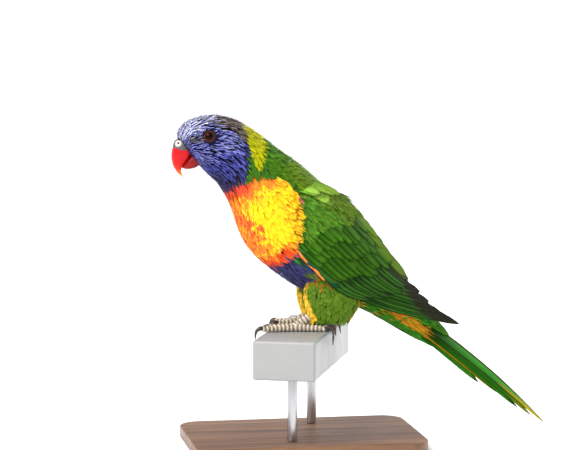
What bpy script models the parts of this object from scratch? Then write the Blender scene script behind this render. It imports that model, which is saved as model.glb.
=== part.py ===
"""A life-size rainbow lorikeet on a short length of flat handrail, held up by a plain stand.

Sizes are in millimetres, in a frame whose X runs from bill to tail, Y from the bird's left to its right
and Z up from the top of the rail. place() turns them into metres above the floor.
"""

import math

import bmesh
import bpy
import numpy as np
from mathutils import Matrix, Vector

MM = 0.001
GAP = 0.3
# A small step along a surface, to find its direction there, and the angle under which an edge is shaded smooth
PROBE = 0.01
SMOOTH_BELOW = math.radians(35.0)

# The stand
TAIL_DROP = 68.5
TAIL_CLEARANCE = 7.5
RAIL_TOP = TAIL_DROP + TAIL_CLEARANCE
RAIL_LENGTH, RAIL_WIDTH, RAIL_HEIGHT, RAIL_ROUNDING = 120.0, 40.0, 25.0, 1.6
RAIL_TURN = math.radians(21.4)
BIRD_FORWARD_OF_RAIL = 2.5
RAIL_ROUNDING_STEPS = 2
BASE_LENGTH, BASE_WIDTH, BASE_THICKNESS, BASE_ROUNDING = 150.0, 100.0, 8.0, 14.0
BASE_ROUNDING_STEPS = 6
ROD_RADIUS, ROD_SPACING, ROD_SIDES = 3.2, 64.0, 20

# The body from bill to tail: back x, back z, belly x, belly z, half width
RIBS = (
    (-78.6, 124.0, -63.6, 105.6, 7.4),
    (-77.0, 129.4, -61.0, 103.0, 10.8),
    (-72.4, 134.0, -57.0, 99.0, 13.4),
    (-64.0, 137.2, -53.0, 95.5, 15.0),
    (-54.0, 138.0, -50.4, 91.8, 16.0),
    (-44.2, 136.2, -47.6, 87.2, 16.6),
    (-34.4, 131.6, -45.0, 82.0, 17.2),
    (-24.0, 124.3, -42.6, 76.2, 18.4),
    (-12.0, 115.0, -40.6, 69.6, 20.2),
    (1.0, 105.6, -37.8, 62.2, 22.0),
    (13.4, 94.8, -34.0, 55.0, 23.4),
    (24.0, 85.2, -29.0, 48.6, 24.2),
    (33.6, 76.0, -22.4, 42.4, 24.4),
    (42.0, 64.8, -13.0, 35.0, 24.0),
    (50.0, 53.4, -3.4, 28.4, 22.6),
    (57.4, 42.8, 8.6, 22.6, 20.4),
    (64.2, 33.0, 23.0, 18.2, 17.2),
    (71.0, 24.6, 38.0, 13.2, 14.0),
    (78.0, 16.8, 52.0, 6.0, 11.4),
    (85.4, 9.0, 65.0, -1.6, 9.2),
    (92.6, 1.4, 78.0, -8.6, 7.0),
)
BODY_SIDES, BODY_STEP = 26, 0.6
BODY_FULLNESS = 0.94
HEAD_END, NECK_END, BREAST_END, RUMP_END, TAIL_ROOT_END = 6.2, 8.5, 13.0, 17.3, 20.0

# The bill: culmen x, culmen z, cutting edge x, cutting edge z, half width
UPPER_BILL = (
    (-76.6, 120.0, -65.6, 116.6, 5.0),
    (-80.2, 119.0, -68.1, 115.3, 6.1),
    (-81.6, 114.9, -70.6, 111.7, 5.9),
    (-81.8, 110.8, -73.0, 108.2, 5.1),
    (-80.9, 106.6, -74.9, 105.8, 3.9),
    (-79.4, 103.6, -75.8, 103.2, 2.7),
    (-77.4, 101.0, -75.4, 101.0, 1.6),
    (-74.6, 98.9, -74.0, 98.9, 0.35),
)
LOWER_BILL = (
    (-65.0, 115.0, -61.4, 107.6, 4.2),
    (-67.6, 114.4, -64.2, 106.2, 5.1),
    (-70.0, 112.4, -66.4, 104.9, 4.9),
    (-72.4, 110.0, -69.4, 104.1, 4.3),
    (-74.2, 107.4, -72.4, 103.9, 3.2),
    (-75.4, 105.9, -74.8, 104.5, 1.9),
)
CERE = (
    (-75.8, 123.4, -68.0, 116.2, 5.4),
    (-79.2, 122.4, -69.6, 116.4, 6.2),
    (-80.5, 119.9, -70.6, 115.6, 6.5),
    (-80.9, 117.9, -71.0, 114.9, 6.3),
)
HORN_SIDES, HORN_FULLNESS, HORN_LEAST_WIDTH = 14, 0.8, 0.3
NOSTRIL_CENTRE = Vector((-78.2, 5.1, 120.9))
NOSTRIL_RADIUS, NOSTRIL_SEGMENTS, NOSTRIL_RINGS = 0.9, 8, 6

# The eye
EYE_ON_HEAD = Vector((-59.6, 13.7, 125.4))
EYE_FACING = Vector((-0.24, 0.93, 0.22)).normalized()
EYEBALL_RADIUS, EYE_DEPTH, EYE_SEGMENTS, EYE_RINGS = 4.3, 3.0, 16, 10
LID_RADIUS, LID_THICKNESS, LID_SIDES, LID_TUBE_SIDES = 3.75, 0.85, 18, 5

# The wing: upper edge x, y, z, lower edge x, y, z, bulge between them, thickness of the core
WING_RIBS = (
    (-6.2, 14.5, 93.0, -3.2, 20.5, 83.0, 3.2, 5.0),
    (5.1, 13.0, 92.6, -5.2, 24.0, 65.0, 6.0, 6.0),
    (20.2, 12.0, 87.0, -3.7, 26.0, 53.7, 7.8, 7.0),
    (31.5, 11.0, 78.0, 3.9, 26.6, 44.8, 8.6, 7.0),
    (40.9, 10.0, 67.0, 12.3, 26.4, 36.3, 8.6, 7.0),
    (50.3, 9.0, 54.8, 22.2, 25.2, 27.6, 7.4, 6.0),
    (59.8, 8.0, 43.3, 34.5, 22.4, 21.2, 5.8, 4.4),
    (69.3, 7.0, 32.6, 49.9, 18.4, 14.3, 4.2, 2.8),
    (79.6, 6.2, 24.0, 67.2, 14.4, 8.8, 2.6, 1.9),
    (92.0, 5.8, 15.0, 84.6, 10.8, 4.9, 1.2, 1.5),
    (105.0, 6.0, 1.8, 104.5, 8.0, 0.8, 0.2, 1.2),
)
CORE_TO, CORE_STEPS, CORE_ACROSS, CORE_EDGE = 0.80, 10, 7, 0.97
# How far the core lies under the wing's surface, a vane's root under the core, and how much of the core's
# thickness a vane goes down through
CORE_BELOW_VANES, ROOT_SINK, SUNK_SHARE = 0.9, 0.7, 0.55
# A vane goes down through the core only this far short of the core's end
VANE_FREE_BEFORE_CORE_END = 0.05
VANE_THICKNESS, VANE_ROLL = 0.6, math.radians(7.0)
# Places along a vane, its share of the full width at each, and how soon it has risen to its free height
VANE_PLACES = (0.0, 0.4, 0.8, 1.0)
VANE_WIDTHS = (0.7, 1.0, 0.84, 0.2)
VANE_RISE_RATE = 1.7

# Tiers of wing feathers: how many, where the first and last are rooted and end along the wing (0 the
# shoulder, 1 the tip) and across it (-1 the lower edge, 1 the upper), width, and height of the free end
WING_TIERS = (
    ("primary", 6, (0.50, 0.56), (1.00, 0.80), (-0.86, 0.10), (-0.30, 0.80), 8.0, 0.15),
    ("primary_covert", 3, (0.36, 0.42), (0.58, 0.66), (-0.93, -0.60), (-0.93, -0.62), 7.0, 0.35),
    ("secondary", 6, (0.44, 0.46), (0.70, 0.74), (-0.50, 0.40), (-0.58, 0.50), 10.0, 0.35),
    ("tertial", 3, (0.40, 0.42), (0.70, 0.735), (0.52, 0.86), (0.62, 0.90), 9.0, 0.65),
    ("greater_covert", 7, (0.30, 0.33), (0.50, 0.52), (-0.74, 0.70), (-0.74, 0.72), 10.0, 0.75),
    ("median_covert", 6, (0.21, 0.24), (0.38, 0.38), (-0.82, 0.76), (-0.84, 0.78), 11.0, 0.95),
    ("lesser_covert_3", 5, (0.14, 0.15), (0.29, 0.29), (-0.78, 0.76), (-0.82, 0.76), 12.5, 1.10),
    ("lesser_covert_2", 5, (0.07, 0.08), (0.21, 0.20), (-0.76, 0.76), (-0.80, 0.78), 11.5, 1.20),
    ("lesser_covert_1", 4, (0.02, 0.02), (0.13, 0.12), (-0.62, 0.66), (-0.74, 0.74), 10.5, 1.25),
)

# The tail's twelve feathers lie as a roof: the middle pair on top, and each next one under it and lower
TAIL_ROOT = (81.0, 3.6)
TAIL_ROOT_STEP = (-0.85, -0.98)
TAIL_TILT, TAIL_TILT_STEP = math.radians(30.0), math.radians(6.0)
TAIL_ROOT_SIDES, TAIL_ROOT_RIBS = 14, 0.9
# The share of the gap at the seam by which the rump's cutter stays short of the tail's root
CUTTER_SHORT_OF_SEAM = 0.9
LEFT_MIDDLE_LENGTH = 0.96
TAIL_VANE_THICKNESS = 0.55
TAIL_VANE_PLACES = (0.0, 0.3, 0.62, 0.88, 1.0)
TAIL_VANE_WIDTHS = (0.9, 1.0, 0.82, 0.42, 0.1)
# From the middle pair outwards: y of the root, tip x, y, z, rise of the bow, width
TAIL_FEATHERS = (
    (4.1, 165.6, 2.0, -67.9, 2.0, 10.4),
    (4.4, 155.5, 2.8, -62.0, 2.0, 10.4),
    (4.4, 145.6, 3.4, -55.9, 1.4, 10.0),
    (4.2, 131.8, 3.8, -45.6, 1.6, 9.6),
    (3.95, 118.8, 4.0, -38.3, 1.2, 9.0),
    (3.5, 104.0, 4.0, -23.9, 0.8, 8.2),
)
# Tail coverts in tiers: body rib at the root, angles round the body from the back, length, width, how many
COVERT_TIERS = (
    (19.0, (0.20, 0.85), 25.0, 8.0, 2),
    (18.0, (0.22, 0.85), 21.0, 9.0, 2),
    (19.0, (2.15, 2.95), 27.0, 8.0, 3),
    (18.0, (2.15, 2.95), 24.0, 9.0, 3),
    (17.5, (2.20, 2.95), 18.0, 10.0, 3),
)
COVERT_PLACES = (0.0, 0.6, 1.0)
COVERT_WIDTHS = (0.85, 1.0, 0.15)
COVERT_THICKNESS, COVERT_AIM = 0.7, 0.4
# How deep a covert's root lies, how far and how soon it rises out, and how far its end droops again
COVERT_DEPTH, COVERT_RISE, COVERT_RISE_RATE, COVERT_DROOP = 1.4, 2.4, 1.8, 1.6

# The thigh: height, centre x, half length, half width
THIGH_RIBS = (
    (38.0, 17.0, 9.0, 5.0),
    (30.0, 18.5, 16.0, 9.0),
    (22.0, 19.5, 18.4, 10.6),
    (14.0, 20.4, 17.6, 9.8),
    (9.0, 20.6, 14.0, 7.6),
    (6.4, 20.4, 8.0, 4.4),
)
THIGH_Y, THIGH_SIDES = 13.4, 16

# The feet: x and y of the toe's root and end, then points of the claw's middle line
TOE_RADIUS, TOE_END_RADIUS, TOE_SCUTES, TOE_SIDES, TOE_TIP_SHARE = 2.35, 1.75, 5, 7, 0.62
# Where along a scute its width changes, and to what share of the toe's
SCUTE_STEPS = ((0.0, 0.88), (0.3, 1.0))
CLAW_RADIUS, CLAW_OVER_TOE, CLAW_SIDES, CLAW_STEPS = 1.35, 0.6, 7, 8
CLAW_TAPER, CLAW_TAPER_POWER, CLAW_LIFT = 0.86, 1.3, 0.1
# A claw whose toe turns further across the rail than this goes straight down, and how far one may reach
CLAW_LEAST_FORWARD, CLAW_MOST_REACH = 0.2, 6.0
TARSUS_Y, TARSUS_SIDES = 13.0, 10
# The tarsus: x, z, radius
TARSUS = ((-4.6, 3.0, 2.5), (-1.0, 5.2, 2.4), (4.0, 8.4, 2.5), (10.0, 12.6, 2.7))
TOES = {
    "left": {
        "outer_front": ((-4.8, -14.0), (-25.4, -15.8), ((-27.6, 2.7), (-30.2, 0.6), (-31.0, -4.6))),
        "inner_front": ((-4.4, -12.0), (-19.4, -6.4), ((-21.4, 2.6), (-23.4, 2.0), (-24.8, 0.7))),
        "outer_rear": ((-4.0, -14.6), (13.0, -19.4), ((15.6, 3.6), (18.8, 0.6), (18.6, -8.6))),
        "inner_rear": ((-3.6, -12.2), (14.6, -8.6), ((17.6, 3.8), (22.2, 1.8), (23.2, -4.6))),
    },
    "right": {
        "outer_front": ((1.2, 13.0), (-10.8, 19.6), ((-12.8, 2.8), (-14.6, 0.6), (-15.2, -4.0))),
        "inner_front": ((1.4, 11.4), (-11.4, 8.0), ((-13.6, 2.8), (-16.4, 1.2), (-18.4, -3.6))),
        "outer_rear": ((3.0, 13.6), (19.2, 17.0), ((21.4, 2.7), (24.2, 2.4), (26.8, 0.9))),
        "inner_rear": ((2.6, 11.6), (19.6, 7.2), ((22.4, 3.9), (27.2, 2.6), (29.0, -5.2))),
    },
}
FOOT_SHIFT = {"left": 0.0, "right": 5.6}

COLOURS = {
    "head_blue": (0.10, 0.09, 0.50, 0.75, 0.0),
    "nape_green": (0.42, 0.50, 0.03, 0.75, 0.0),
    "breast_yellow": (0.95, 0.45, 0.03, 0.75, 0.0),
    "belly_green": (0.12, 0.30, 0.03, 0.75, 0.0),
    "wing_green": (0.07, 0.30, 0.03, 0.6, 0.0),
    "tail_green": (0.10, 0.34, 0.05, 0.6, 0.0),
    "bill_red": (0.75, 0.06, 0.03, 0.35, 0.0),
    "cere_grey": (0.30, 0.28, 0.27, 0.5, 0.0),
    "eye_dark": (0.02, 0.01, 0.01, 0.08, 0.0),
    "foot_grey": (0.52, 0.46, 0.38, 0.7, 0.0),
    "claw_brown": (0.10, 0.05, 0.03, 0.35, 0.0),
    "rail_paint": (0.42, 0.50, 0.60, 0.35, 0.4),
    "rod_steel": (0.60, 0.60, 0.62, 0.3, 1.0),
    "base_wood": (0.06, 0.04, 0.03, 0.4, 0.0),
}


def clear_scene():
    for obj in list(bpy.data.objects):
        bpy.data.objects.remove(obj, do_unlink=True)


def make_materials():
    made = {}
    for name, (red, green, blue, roughness, metallic) in COLOURS.items():
        material = bpy.data.materials.new(name)
        material.use_nodes = True
        shader = material.node_tree.nodes["Principled BSDF"]
        shader.inputs["Base Color"].default_value = (red, green, blue, 1.0)
        shader.inputs["Roughness"].default_value = roughness
        shader.inputs["Metallic"].default_value = metallic
        made[name] = material
    return made


def place(point):
    """A point of the bird's own frame, in millimetres, as metres above the floor."""
    x, y, z = point
    return Vector(((x - BIRD_FORWARD_OF_RAIL) * MM, y * MM, (z + RAIL_TOP) * MM))


def along(table, t):
    """The row of a table at the fractional index t, on a smooth curve through its rows."""
    rows = np.asarray(table, float)
    last = len(rows) - 1
    i = int(min(max(math.floor(t), 0), last - 1))
    f = t - i
    p1, p2 = rows[i], rows[i + 1]
    p0 = rows[i - 1] if i > 0 else 2 * p1 - p2
    p3 = rows[i + 2] if i + 2 <= last else 2 * p2 - p1
    return 0.5 * (2 * p1 + (p2 - p0) * f + (2 * p0 - 5 * p1 + 4 * p2 - p3) * f**2
                  + (3 * p1 - p0 - 3 * p2 + p3) * f**3)


def loft_mesh(rings):
    """A closed body through rings of points, its quads split the same way all along."""
    sides = len(rings[0])
    points = [p for ring in rings for p in ring]
    faces = []
    for r in range(len(rings) - 1):
        for k in range(sides):
            a, b = r * sides + k, r * sides + (k + 1) % sides
            c, d = a + sides, b + sides
            faces += [(a, b, d), (a, d, c)]
    for first, turned in ((0, True), ((len(rings) - 1) * sides, False)):
        for k in range(1, sides - 1):
            corner = (first, first + k, first + k + 1)
            faces.append(corner[::-1] if turned else corner)
    return points, faces


def new_body(name, points, faces, material, collection):
    mesh = bpy.data.meshes.new(name)
    mesh.from_pydata([place(p) for p in points], [], faces)
    work = bmesh.new()
    work.from_mesh(mesh)
    bmesh.ops.recalc_face_normals(work, faces=work.faces)
    work.to_mesh(mesh)
    work.free()
    mesh.materials.append(material)
    obj = bpy.data.objects.new(name, mesh)
    collection.objects.link(obj)
    return obj


def combine(obj, others, operation):
    """Joins or cuts obj with closed bodies, applies that, and removes them."""
    tools = bpy.data.collections.new(obj.name + "_tools")
    bpy.context.scene.collection.children.link(tools)
    for other in others:
        for home in list(other.users_collection):
            home.objects.unlink(other)
        tools.objects.link(other)
    change = obj.modifiers.new("combine", "BOOLEAN")
    change.operation = operation
    change.operand_type = "COLLECTION"
    change.collection = tools
    change.solver = "MANIFOLD"
    bpy.context.view_layer.update()
    graph = bpy.context.evaluated_depsgraph_get()
    material = obj.data.materials[0]
    mesh = bpy.data.meshes.new_from_object(obj.evaluated_get(graph))
    obj.modifiers.clear()
    obj.data = mesh
    mesh.materials.clear()
    mesh.materials.append(material)
    for polygon in mesh.polygons:
        polygon.material_index = 0
    for other in list(tools.objects):
        bpy.data.objects.remove(other, do_unlink=True)
    bpy.data.collections.remove(tools)
    return obj


def keep_largest(obj):
    """Drops every closed surface but the largest, so that no scrap or sealed hollow stays."""
    work = bmesh.new()
    work.from_mesh(obj.data)
    bmesh.ops.triangulate(work, faces=work.faces)
    groups, seen = [], set()
    for start in work.verts:
        if start in seen:
            continue
        seen.add(start)
        group, queue = [], [start]
        while queue:
            vert = queue.pop()
            group.append(vert)
            for edge in vert.link_edges:
                other = edge.other_vert(vert)
                if other not in seen:
                    seen.add(other)
                    queue.append(other)
        groups.append(group)

    def volume(group):
        faces = {face for vert in group for face in vert.link_faces}
        return sum(
            f.verts[0].co.dot(f.verts[1].co.cross(f.verts[2].co)) for f in faces
        )

    largest = max(groups, key=volume)
    doomed = [v for group in groups if group is not largest for v in group]
    bmesh.ops.delete(work, geom=doomed, context="VERTS")
    work.to_mesh(obj.data)
    work.free()
    return obj


def shade(obj):
    obj.data.shade_smooth()
    obj.data.set_sharp_from_angle(angle=SMOOTH_BELOW)
    return obj


def body_point(t, angle, grow=0.0):
    """A point on the body at rib t, angle 0 on the back and pi on the belly, to the right of the middle."""
    back_x, back_z, belly_x, belly_z, half_width = along(RIBS, t)
    back = Vector((back_x, 0.0, back_z))
    belly = Vector((belly_x, 0.0, belly_z))
    centre, arm = (back + belly) / 2, (back - belly) / 2
    rise, side = math.cos(angle), math.sin(angle)
    height = math.copysign(abs(rise) ** BODY_FULLNESS, rise) * (arm.length + grow)
    width = math.copysign(abs(side) ** BODY_FULLNESS, side) * (half_width + grow)
    return centre + arm.normalized() * height + Vector((0.0, width, 0.0))


def body_rings(start, end, grow=0.0, step=BODY_STEP, sides=BODY_SIDES):
    count = max(2, round((end - start) / step) + 1)
    return [
        [body_point(t, 2 * math.pi * k / sides, grow) for k in range(sides)]
        for t in np.linspace(start, end, count)
    ]


def body_length(start, end, name, material, collection, grow=0.0):
    return new_body(name, *loft_mesh(body_rings(start, end, grow)), material, collection)


def seam(t):
    """How far past rib t the next length of the body starts, so that the gap is met at its narrowest."""
    here, there = along(RIBS, t), along(RIBS, t + PROBE)
    back = math.hypot(*(there[:2] - here[:2]))
    belly = math.hypot(*(there[2:4] - here[2:4]))
    return t + GAP * PROBE / min(back, belly)


def horn_rings(table, grow=0.0):
    """Rings for a mandible or cere: each row has a ridge, an edge and a half width."""
    rings = []
    for t in np.linspace(0, len(table) - 1, 2 * len(table) - 1):
        ridge_x, ridge_z, edge_x, edge_z, half_width = along(table, t)
        ridge, edge = Vector((ridge_x, 0, ridge_z)), Vector((edge_x, 0, edge_z))
        centre, arm = (ridge + edge) / 2, (ridge - edge) / 2
        ring = []
        for k in range(HORN_SIDES):
            angle = 2 * math.pi * k / HORN_SIDES
            rise, side = math.cos(angle), math.sin(angle)
            height = math.copysign(abs(rise) ** HORN_FULLNESS, rise) * (arm.length + grow)
            reach = max(half_width, HORN_LEAST_WIDTH) + grow
            width = math.copysign(abs(side) ** HORN_FULLNESS, side) * reach
            ring.append(centre + arm.normalized() * height + Vector((0.0, width, 0.0)))
        rings.append(ring)
    return rings


def horn(name, table, material, collection, grow=0.0):
    rings = horn_rings(table, grow)
    if grow:
        ahead = (rings[-1][0] - rings[-2][0]).normalized() * grow
        rings[-1] = [p + ahead for p in rings[-1]]
    return new_body(name, *loft_mesh(rings), material, collection)


def ball(name, centre, radius, material, collection, segments=EYE_SEGMENTS, rings=EYE_RINGS, facing=None):
    work = bmesh.new()
    bmesh.ops.create_uvsphere(work, u_segments=segments, v_segments=rings, radius=radius * MM)
    if facing is not None:
        bmesh.ops.transform(work, matrix=facing.to_track_quat("Z", "Y").to_matrix().to_4x4(), verts=work.verts)
    bmesh.ops.translate(work, vec=place(centre), verts=work.verts)
    mesh = bpy.data.meshes.new(name)
    work.to_mesh(mesh)
    work.free()
    mesh.materials.append(material)
    obj = bpy.data.objects.new(name, mesh)
    collection.objects.link(obj)
    return obj


def lid_ring(name, centre, facing, material, collection):
    """The rim of both eyelids as one ring round the eye."""
    first = facing.cross(Vector((0, 0, 1))).normalized()
    second = facing.cross(first).normalized()
    points, faces = [], []
    for i in range(LID_SIDES):
        turn = 2 * math.pi * i / LID_SIDES
        out = first * math.cos(turn) + second * math.sin(turn)
        for j in range(LID_TUBE_SIDES):
            tube = 2 * math.pi * j / LID_TUBE_SIDES
            offset = out * math.cos(tube) + facing * math.sin(tube)
            points.append(centre + out * LID_RADIUS + offset * LID_THICKNESS)
    for i in range(LID_SIDES):
        here, there = i * LID_TUBE_SIDES, (i + 1) % LID_SIDES * LID_TUBE_SIDES
        for j in range(LID_TUBE_SIDES):
            k = (j + 1) % LID_TUBE_SIDES
            faces += [(here + j, here + k, there + k), (here + j, there + k, there + j)]
    return new_body(name, points, faces, material, collection)


def mirrored(point, side):
    return Vector((point[0], point[1] * side, point[2]))


def wing_point(s, c, lift=0.0):
    """A point over the right wing: s runs from shoulder to tip, c from the lower to the upper edge."""
    def flat(u, v):
        row = along(WING_RIBS, u * (len(WING_RIBS) - 1))
        upper, lower = Vector(row[:3]), Vector(row[3:6])
        middle = lower.lerp(upper, (v + 1) / 2)
        return middle + Vector((0.0, row[6] * (1 - v * v), 0.0))

    here = flat(s, c)
    if lift == 0.0:
        return here
    ahead = flat(min(s + PROBE, 1.0), c) - flat(max(s - PROBE, 0.0), c)
    across = flat(s, c + PROBE) - flat(s, c - PROBE)
    normal = across.cross(ahead).normalized()
    if normal.y < 0:
        normal = -normal
    return here + normal * lift


def strip(path, normals, widths, thicknesses, sunk=None):
    """A tapered vane along a path, closed, its two faces split alike. Sunk lengthens each place downwards."""
    rings = []
    last = len(path) - 1
    for i, (centre, normal, width, thickness) in enumerate(zip(path, normals, widths, thicknesses)):
        forward = (path[min(i + 1, last)] - path[max(i - 1, 0)]).normalized()
        side = normal.cross(forward).normalized()
        up = forward.cross(side).normalized()
        edge, top, bottom = side * width / 2, up * thickness / 2, -up * thickness / 2
        if sunk:
            bottom = bottom - normal * sunk[i]
        rings.append([centre - edge + top, centre + edge + top, centre + edge + bottom, centre - edge + bottom])
    return loft_mesh(rings)


def wing_vane(s_range, c_range, width, free_height):
    """One wing feather, rolled like a shingle, solid down into the core as far as the core goes."""
    root_level = -CORE_BELOW_VANES - ROOT_SINK
    path, normals, sunk = [], [], []
    for f in VANE_PLACES:
        s = s_range[0] + (s_range[1] - s_range[0]) * f
        c = c_range[0] + (c_range[1] - c_range[0]) * f
        rise = root_level + (free_height - root_level) * min(1, f * VANE_RISE_RATE)
        low, high = wing_point(s, c, -1.0), wing_point(s, c, 1.0)
        normal = (high - low).normalized()
        path.append(wing_point(s, c) + normal * rise)
        normals.append(normal)
        depth = along(WING_RIBS, s * (len(WING_RIBS) - 1))[7]
        over_core = s < CORE_TO - VANE_FREE_BEFORE_CORE_END
        sunk.append(rise - root_level + SUNK_SHARE * depth if over_core else 0.0)
    tilted = []
    for i, normal in enumerate(normals):
        ahead = (path[min(i + 1, len(path) - 1)] - path[max(i - 1, 0)]).normalized()
        tilted.append(Matrix.Rotation(VANE_ROLL, 3, ahead) @ normal)
    widths = [width * w for w in VANE_WIDTHS]
    return strip(path, tilted, widths, [VANE_THICKNESS] * len(path), sunk)


def tier_vanes():
    """The name and path of every feather of a wing, tier by tier."""
    for name, count, root_s, tip_s, root_c, tip_c, width, height in WING_TIERS:
        for i in range(count):
            f = i / (count - 1)
            spread = [a + (b - a) * f for a, b in (root_s, tip_s, root_c, tip_c)]
            yield name, ((spread[0], spread[1]), (spread[2], spread[3]), width, height)


def wing_core(collection, material):
    """The wing under its feathers: a curved plate, thick at the shoulder."""
    rings = []
    for s in np.linspace(0.0, CORE_TO, CORE_STEPS):
        depth = along(WING_RIBS, s * (len(WING_RIBS) - 1))[7]
        places = np.linspace(-CORE_EDGE, CORE_EDGE, CORE_ACROSS)
        outer = [wing_point(s, c, -CORE_BELOW_VANES) for c in places]
        inner = [wing_point(s, c, -CORE_BELOW_VANES - depth) for c in reversed(places)]
        rings.append(outer + inner)
    return new_body("wing_core", *loft_mesh(rings), material, collection)


def build_wing(side, name, materials, parts, cutters):
    material = materials["wing_green"]
    wing = wing_core(parts, material)
    vanes = [
        new_body(tier, *wing_vane(*vane), material, parts) for tier, vane in tier_vanes()
    ]
    combine(wing, vanes, "UNION")
    combine(wing, cutters, "DIFFERENCE")
    keep_largest(wing)
    wing.name = name
    if side < 0:
        flip = Matrix.Scale(-1, 4, Vector((0, 1, 0)))
        wing.data.transform(flip)
        wing.data.flip_normals()
    return shade(wing)


def body_cutters(materials, parts):
    """Slightly swollen copies of the body and right thigh, which leave the gap beside what they cut."""
    body = body_length(0.0, TAIL_ROOT_END, "body_cutter", materials["belly_green"], parts, GAP)
    thigh = new_body("thigh_cutter", *loft_mesh(thigh_rings(1, GAP)), materials["belly_green"], parts)
    return [body, thigh]


def thigh_rings(side, grow=0.0):
    rings = []
    for t in np.linspace(0, len(THIGH_RIBS) - 1, 2 * len(THIGH_RIBS) - 1):
        height, centre_x, half_length, half_width = along(THIGH_RIBS, t)
        if grow:
            height += grow * (1 if t == 0 else -1 if t == len(THIGH_RIBS) - 1 else 0)
        ring = []
        for k in range(THIGH_SIDES):
            angle = 2 * math.pi * k / THIGH_SIDES
            ring.append(Vector((
                centre_x + (half_length + grow) * math.cos(angle),
                side * THIGH_Y + (half_width + grow) * math.sin(angle),
                height,
            )))
        rings.append(ring)
    return rings


def tube_rings(path, radii, sides):
    rings = []
    last = len(path) - 1
    for i, (centre, radius) in enumerate(zip(path, radii)):
        forward = (path[min(i + 1, last)] - path[max(i - 1, 0)]).normalized()
        side = Vector((0, 0, 1)).cross(forward)
        side = side.normalized() if side.length > 1e-3 else Vector((0, 1, 0))
        up = forward.cross(side).normalized()
        rings.append([
            centre + side * math.cos(2 * math.pi * k / sides) * radius
            + up * math.sin(2 * math.pi * k / sides) * radius
            for k in range(sides)
        ])
    return rings


def toe_rings(root, end, grow=0.0):
    """A toe from the sole's hub to its claw, each scute a low step in its width."""
    path, radii = [], []
    start, stop = Vector((*root, TOE_RADIUS + GAP)), Vector((*end, TOE_END_RADIUS + GAP))
    stop += (stop - start).normalized() * grow
    for i in range(TOE_SCUTES):
        for inside, swell in SCUTE_STEPS:
            f = (i + inside) / TOE_SCUTES
            radius = (TOE_RADIUS + (TOE_END_RADIUS - TOE_RADIUS) * f) * swell
            centre = start.lerp(stop, f)
            centre.z = radius + GAP
            path.append(centre)
            radii.append(radius + grow)
    path.append(stop)
    radii.append(TOE_END_RADIUS * TOE_TIP_SHARE + grow)
    return tube_rings(path, radii, TOE_SIDES)


def claw_path(root, end, line):
    """The claw's middle line, in the vertical plane that its toe ends in."""
    toward = (Vector(end) - Vector(root)).normalized()
    root_height = TOE_END_RADIUS + GAP + CLAW_LIFT
    points = [Vector((*end, root_height)) - Vector((*toward, 0.0)) * CLAW_OVER_TOE]
    for x, z in line:
        reach = (x - end[0]) / toward.x if abs(toward.x) > CLAW_LEAST_FORWARD else 0.0
        y = end[1] + toward.y * min(abs(reach), CLAW_MOST_REACH)
        points.append(Vector((x, y, z)))
    table = [tuple(p) for p in points]
    return [Vector(along(table, t)) for t in np.linspace(0, len(table) - 1, CLAW_STEPS)]


def claw_radii(count):
    return [CLAW_RADIUS * (1 - CLAW_TAPER * (i / (count - 1)) ** CLAW_TAPER_POWER) for i in range(count)]


def build_feet(materials, parts):
    for side_name, side in (("left", -1), ("right", 1)):
        shift = FOOT_SHIFT[side_name]
        tarsus = [Vector((x + shift, side * TARSUS_Y, z)) for x, z, _ in TARSUS]
        shank = tube_rings(tarsus, [r for _, _, r in TARSUS], TARSUS_SIDES)
        foot = new_body("foot_" + side_name, *loft_mesh(shank), materials["foot_grey"], parts)
        toes = []
        for toe_name, (root, end, line) in TOES[side_name].items():
            toes.append(new_body("toe", *loft_mesh(toe_rings(root, end)), materials["foot_grey"], parts))
            path = claw_path(root, end, line)
            rings = tube_rings(path, claw_radii(len(path)), CLAW_SIDES)
            claw = new_body(
                f"claw_{side_name}_{toe_name}", *loft_mesh(rings), materials["claw_brown"], parts
            )
            toe_end = loft_mesh(toe_rings(root, end, GAP))
            combine(claw, [new_body("toe_end", *toe_end, materials["foot_grey"], parts)], "DIFFERENCE")
            shade(keep_largest(claw))
        combine(foot, toes, "UNION")
        thigh = new_body("thigh_cutter", *loft_mesh(thigh_rings(side, GAP)), materials["belly_green"], parts)
        combine(foot, [thigh], "DIFFERENCE")
        keep_largest(foot)
        shade(foot)


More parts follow.
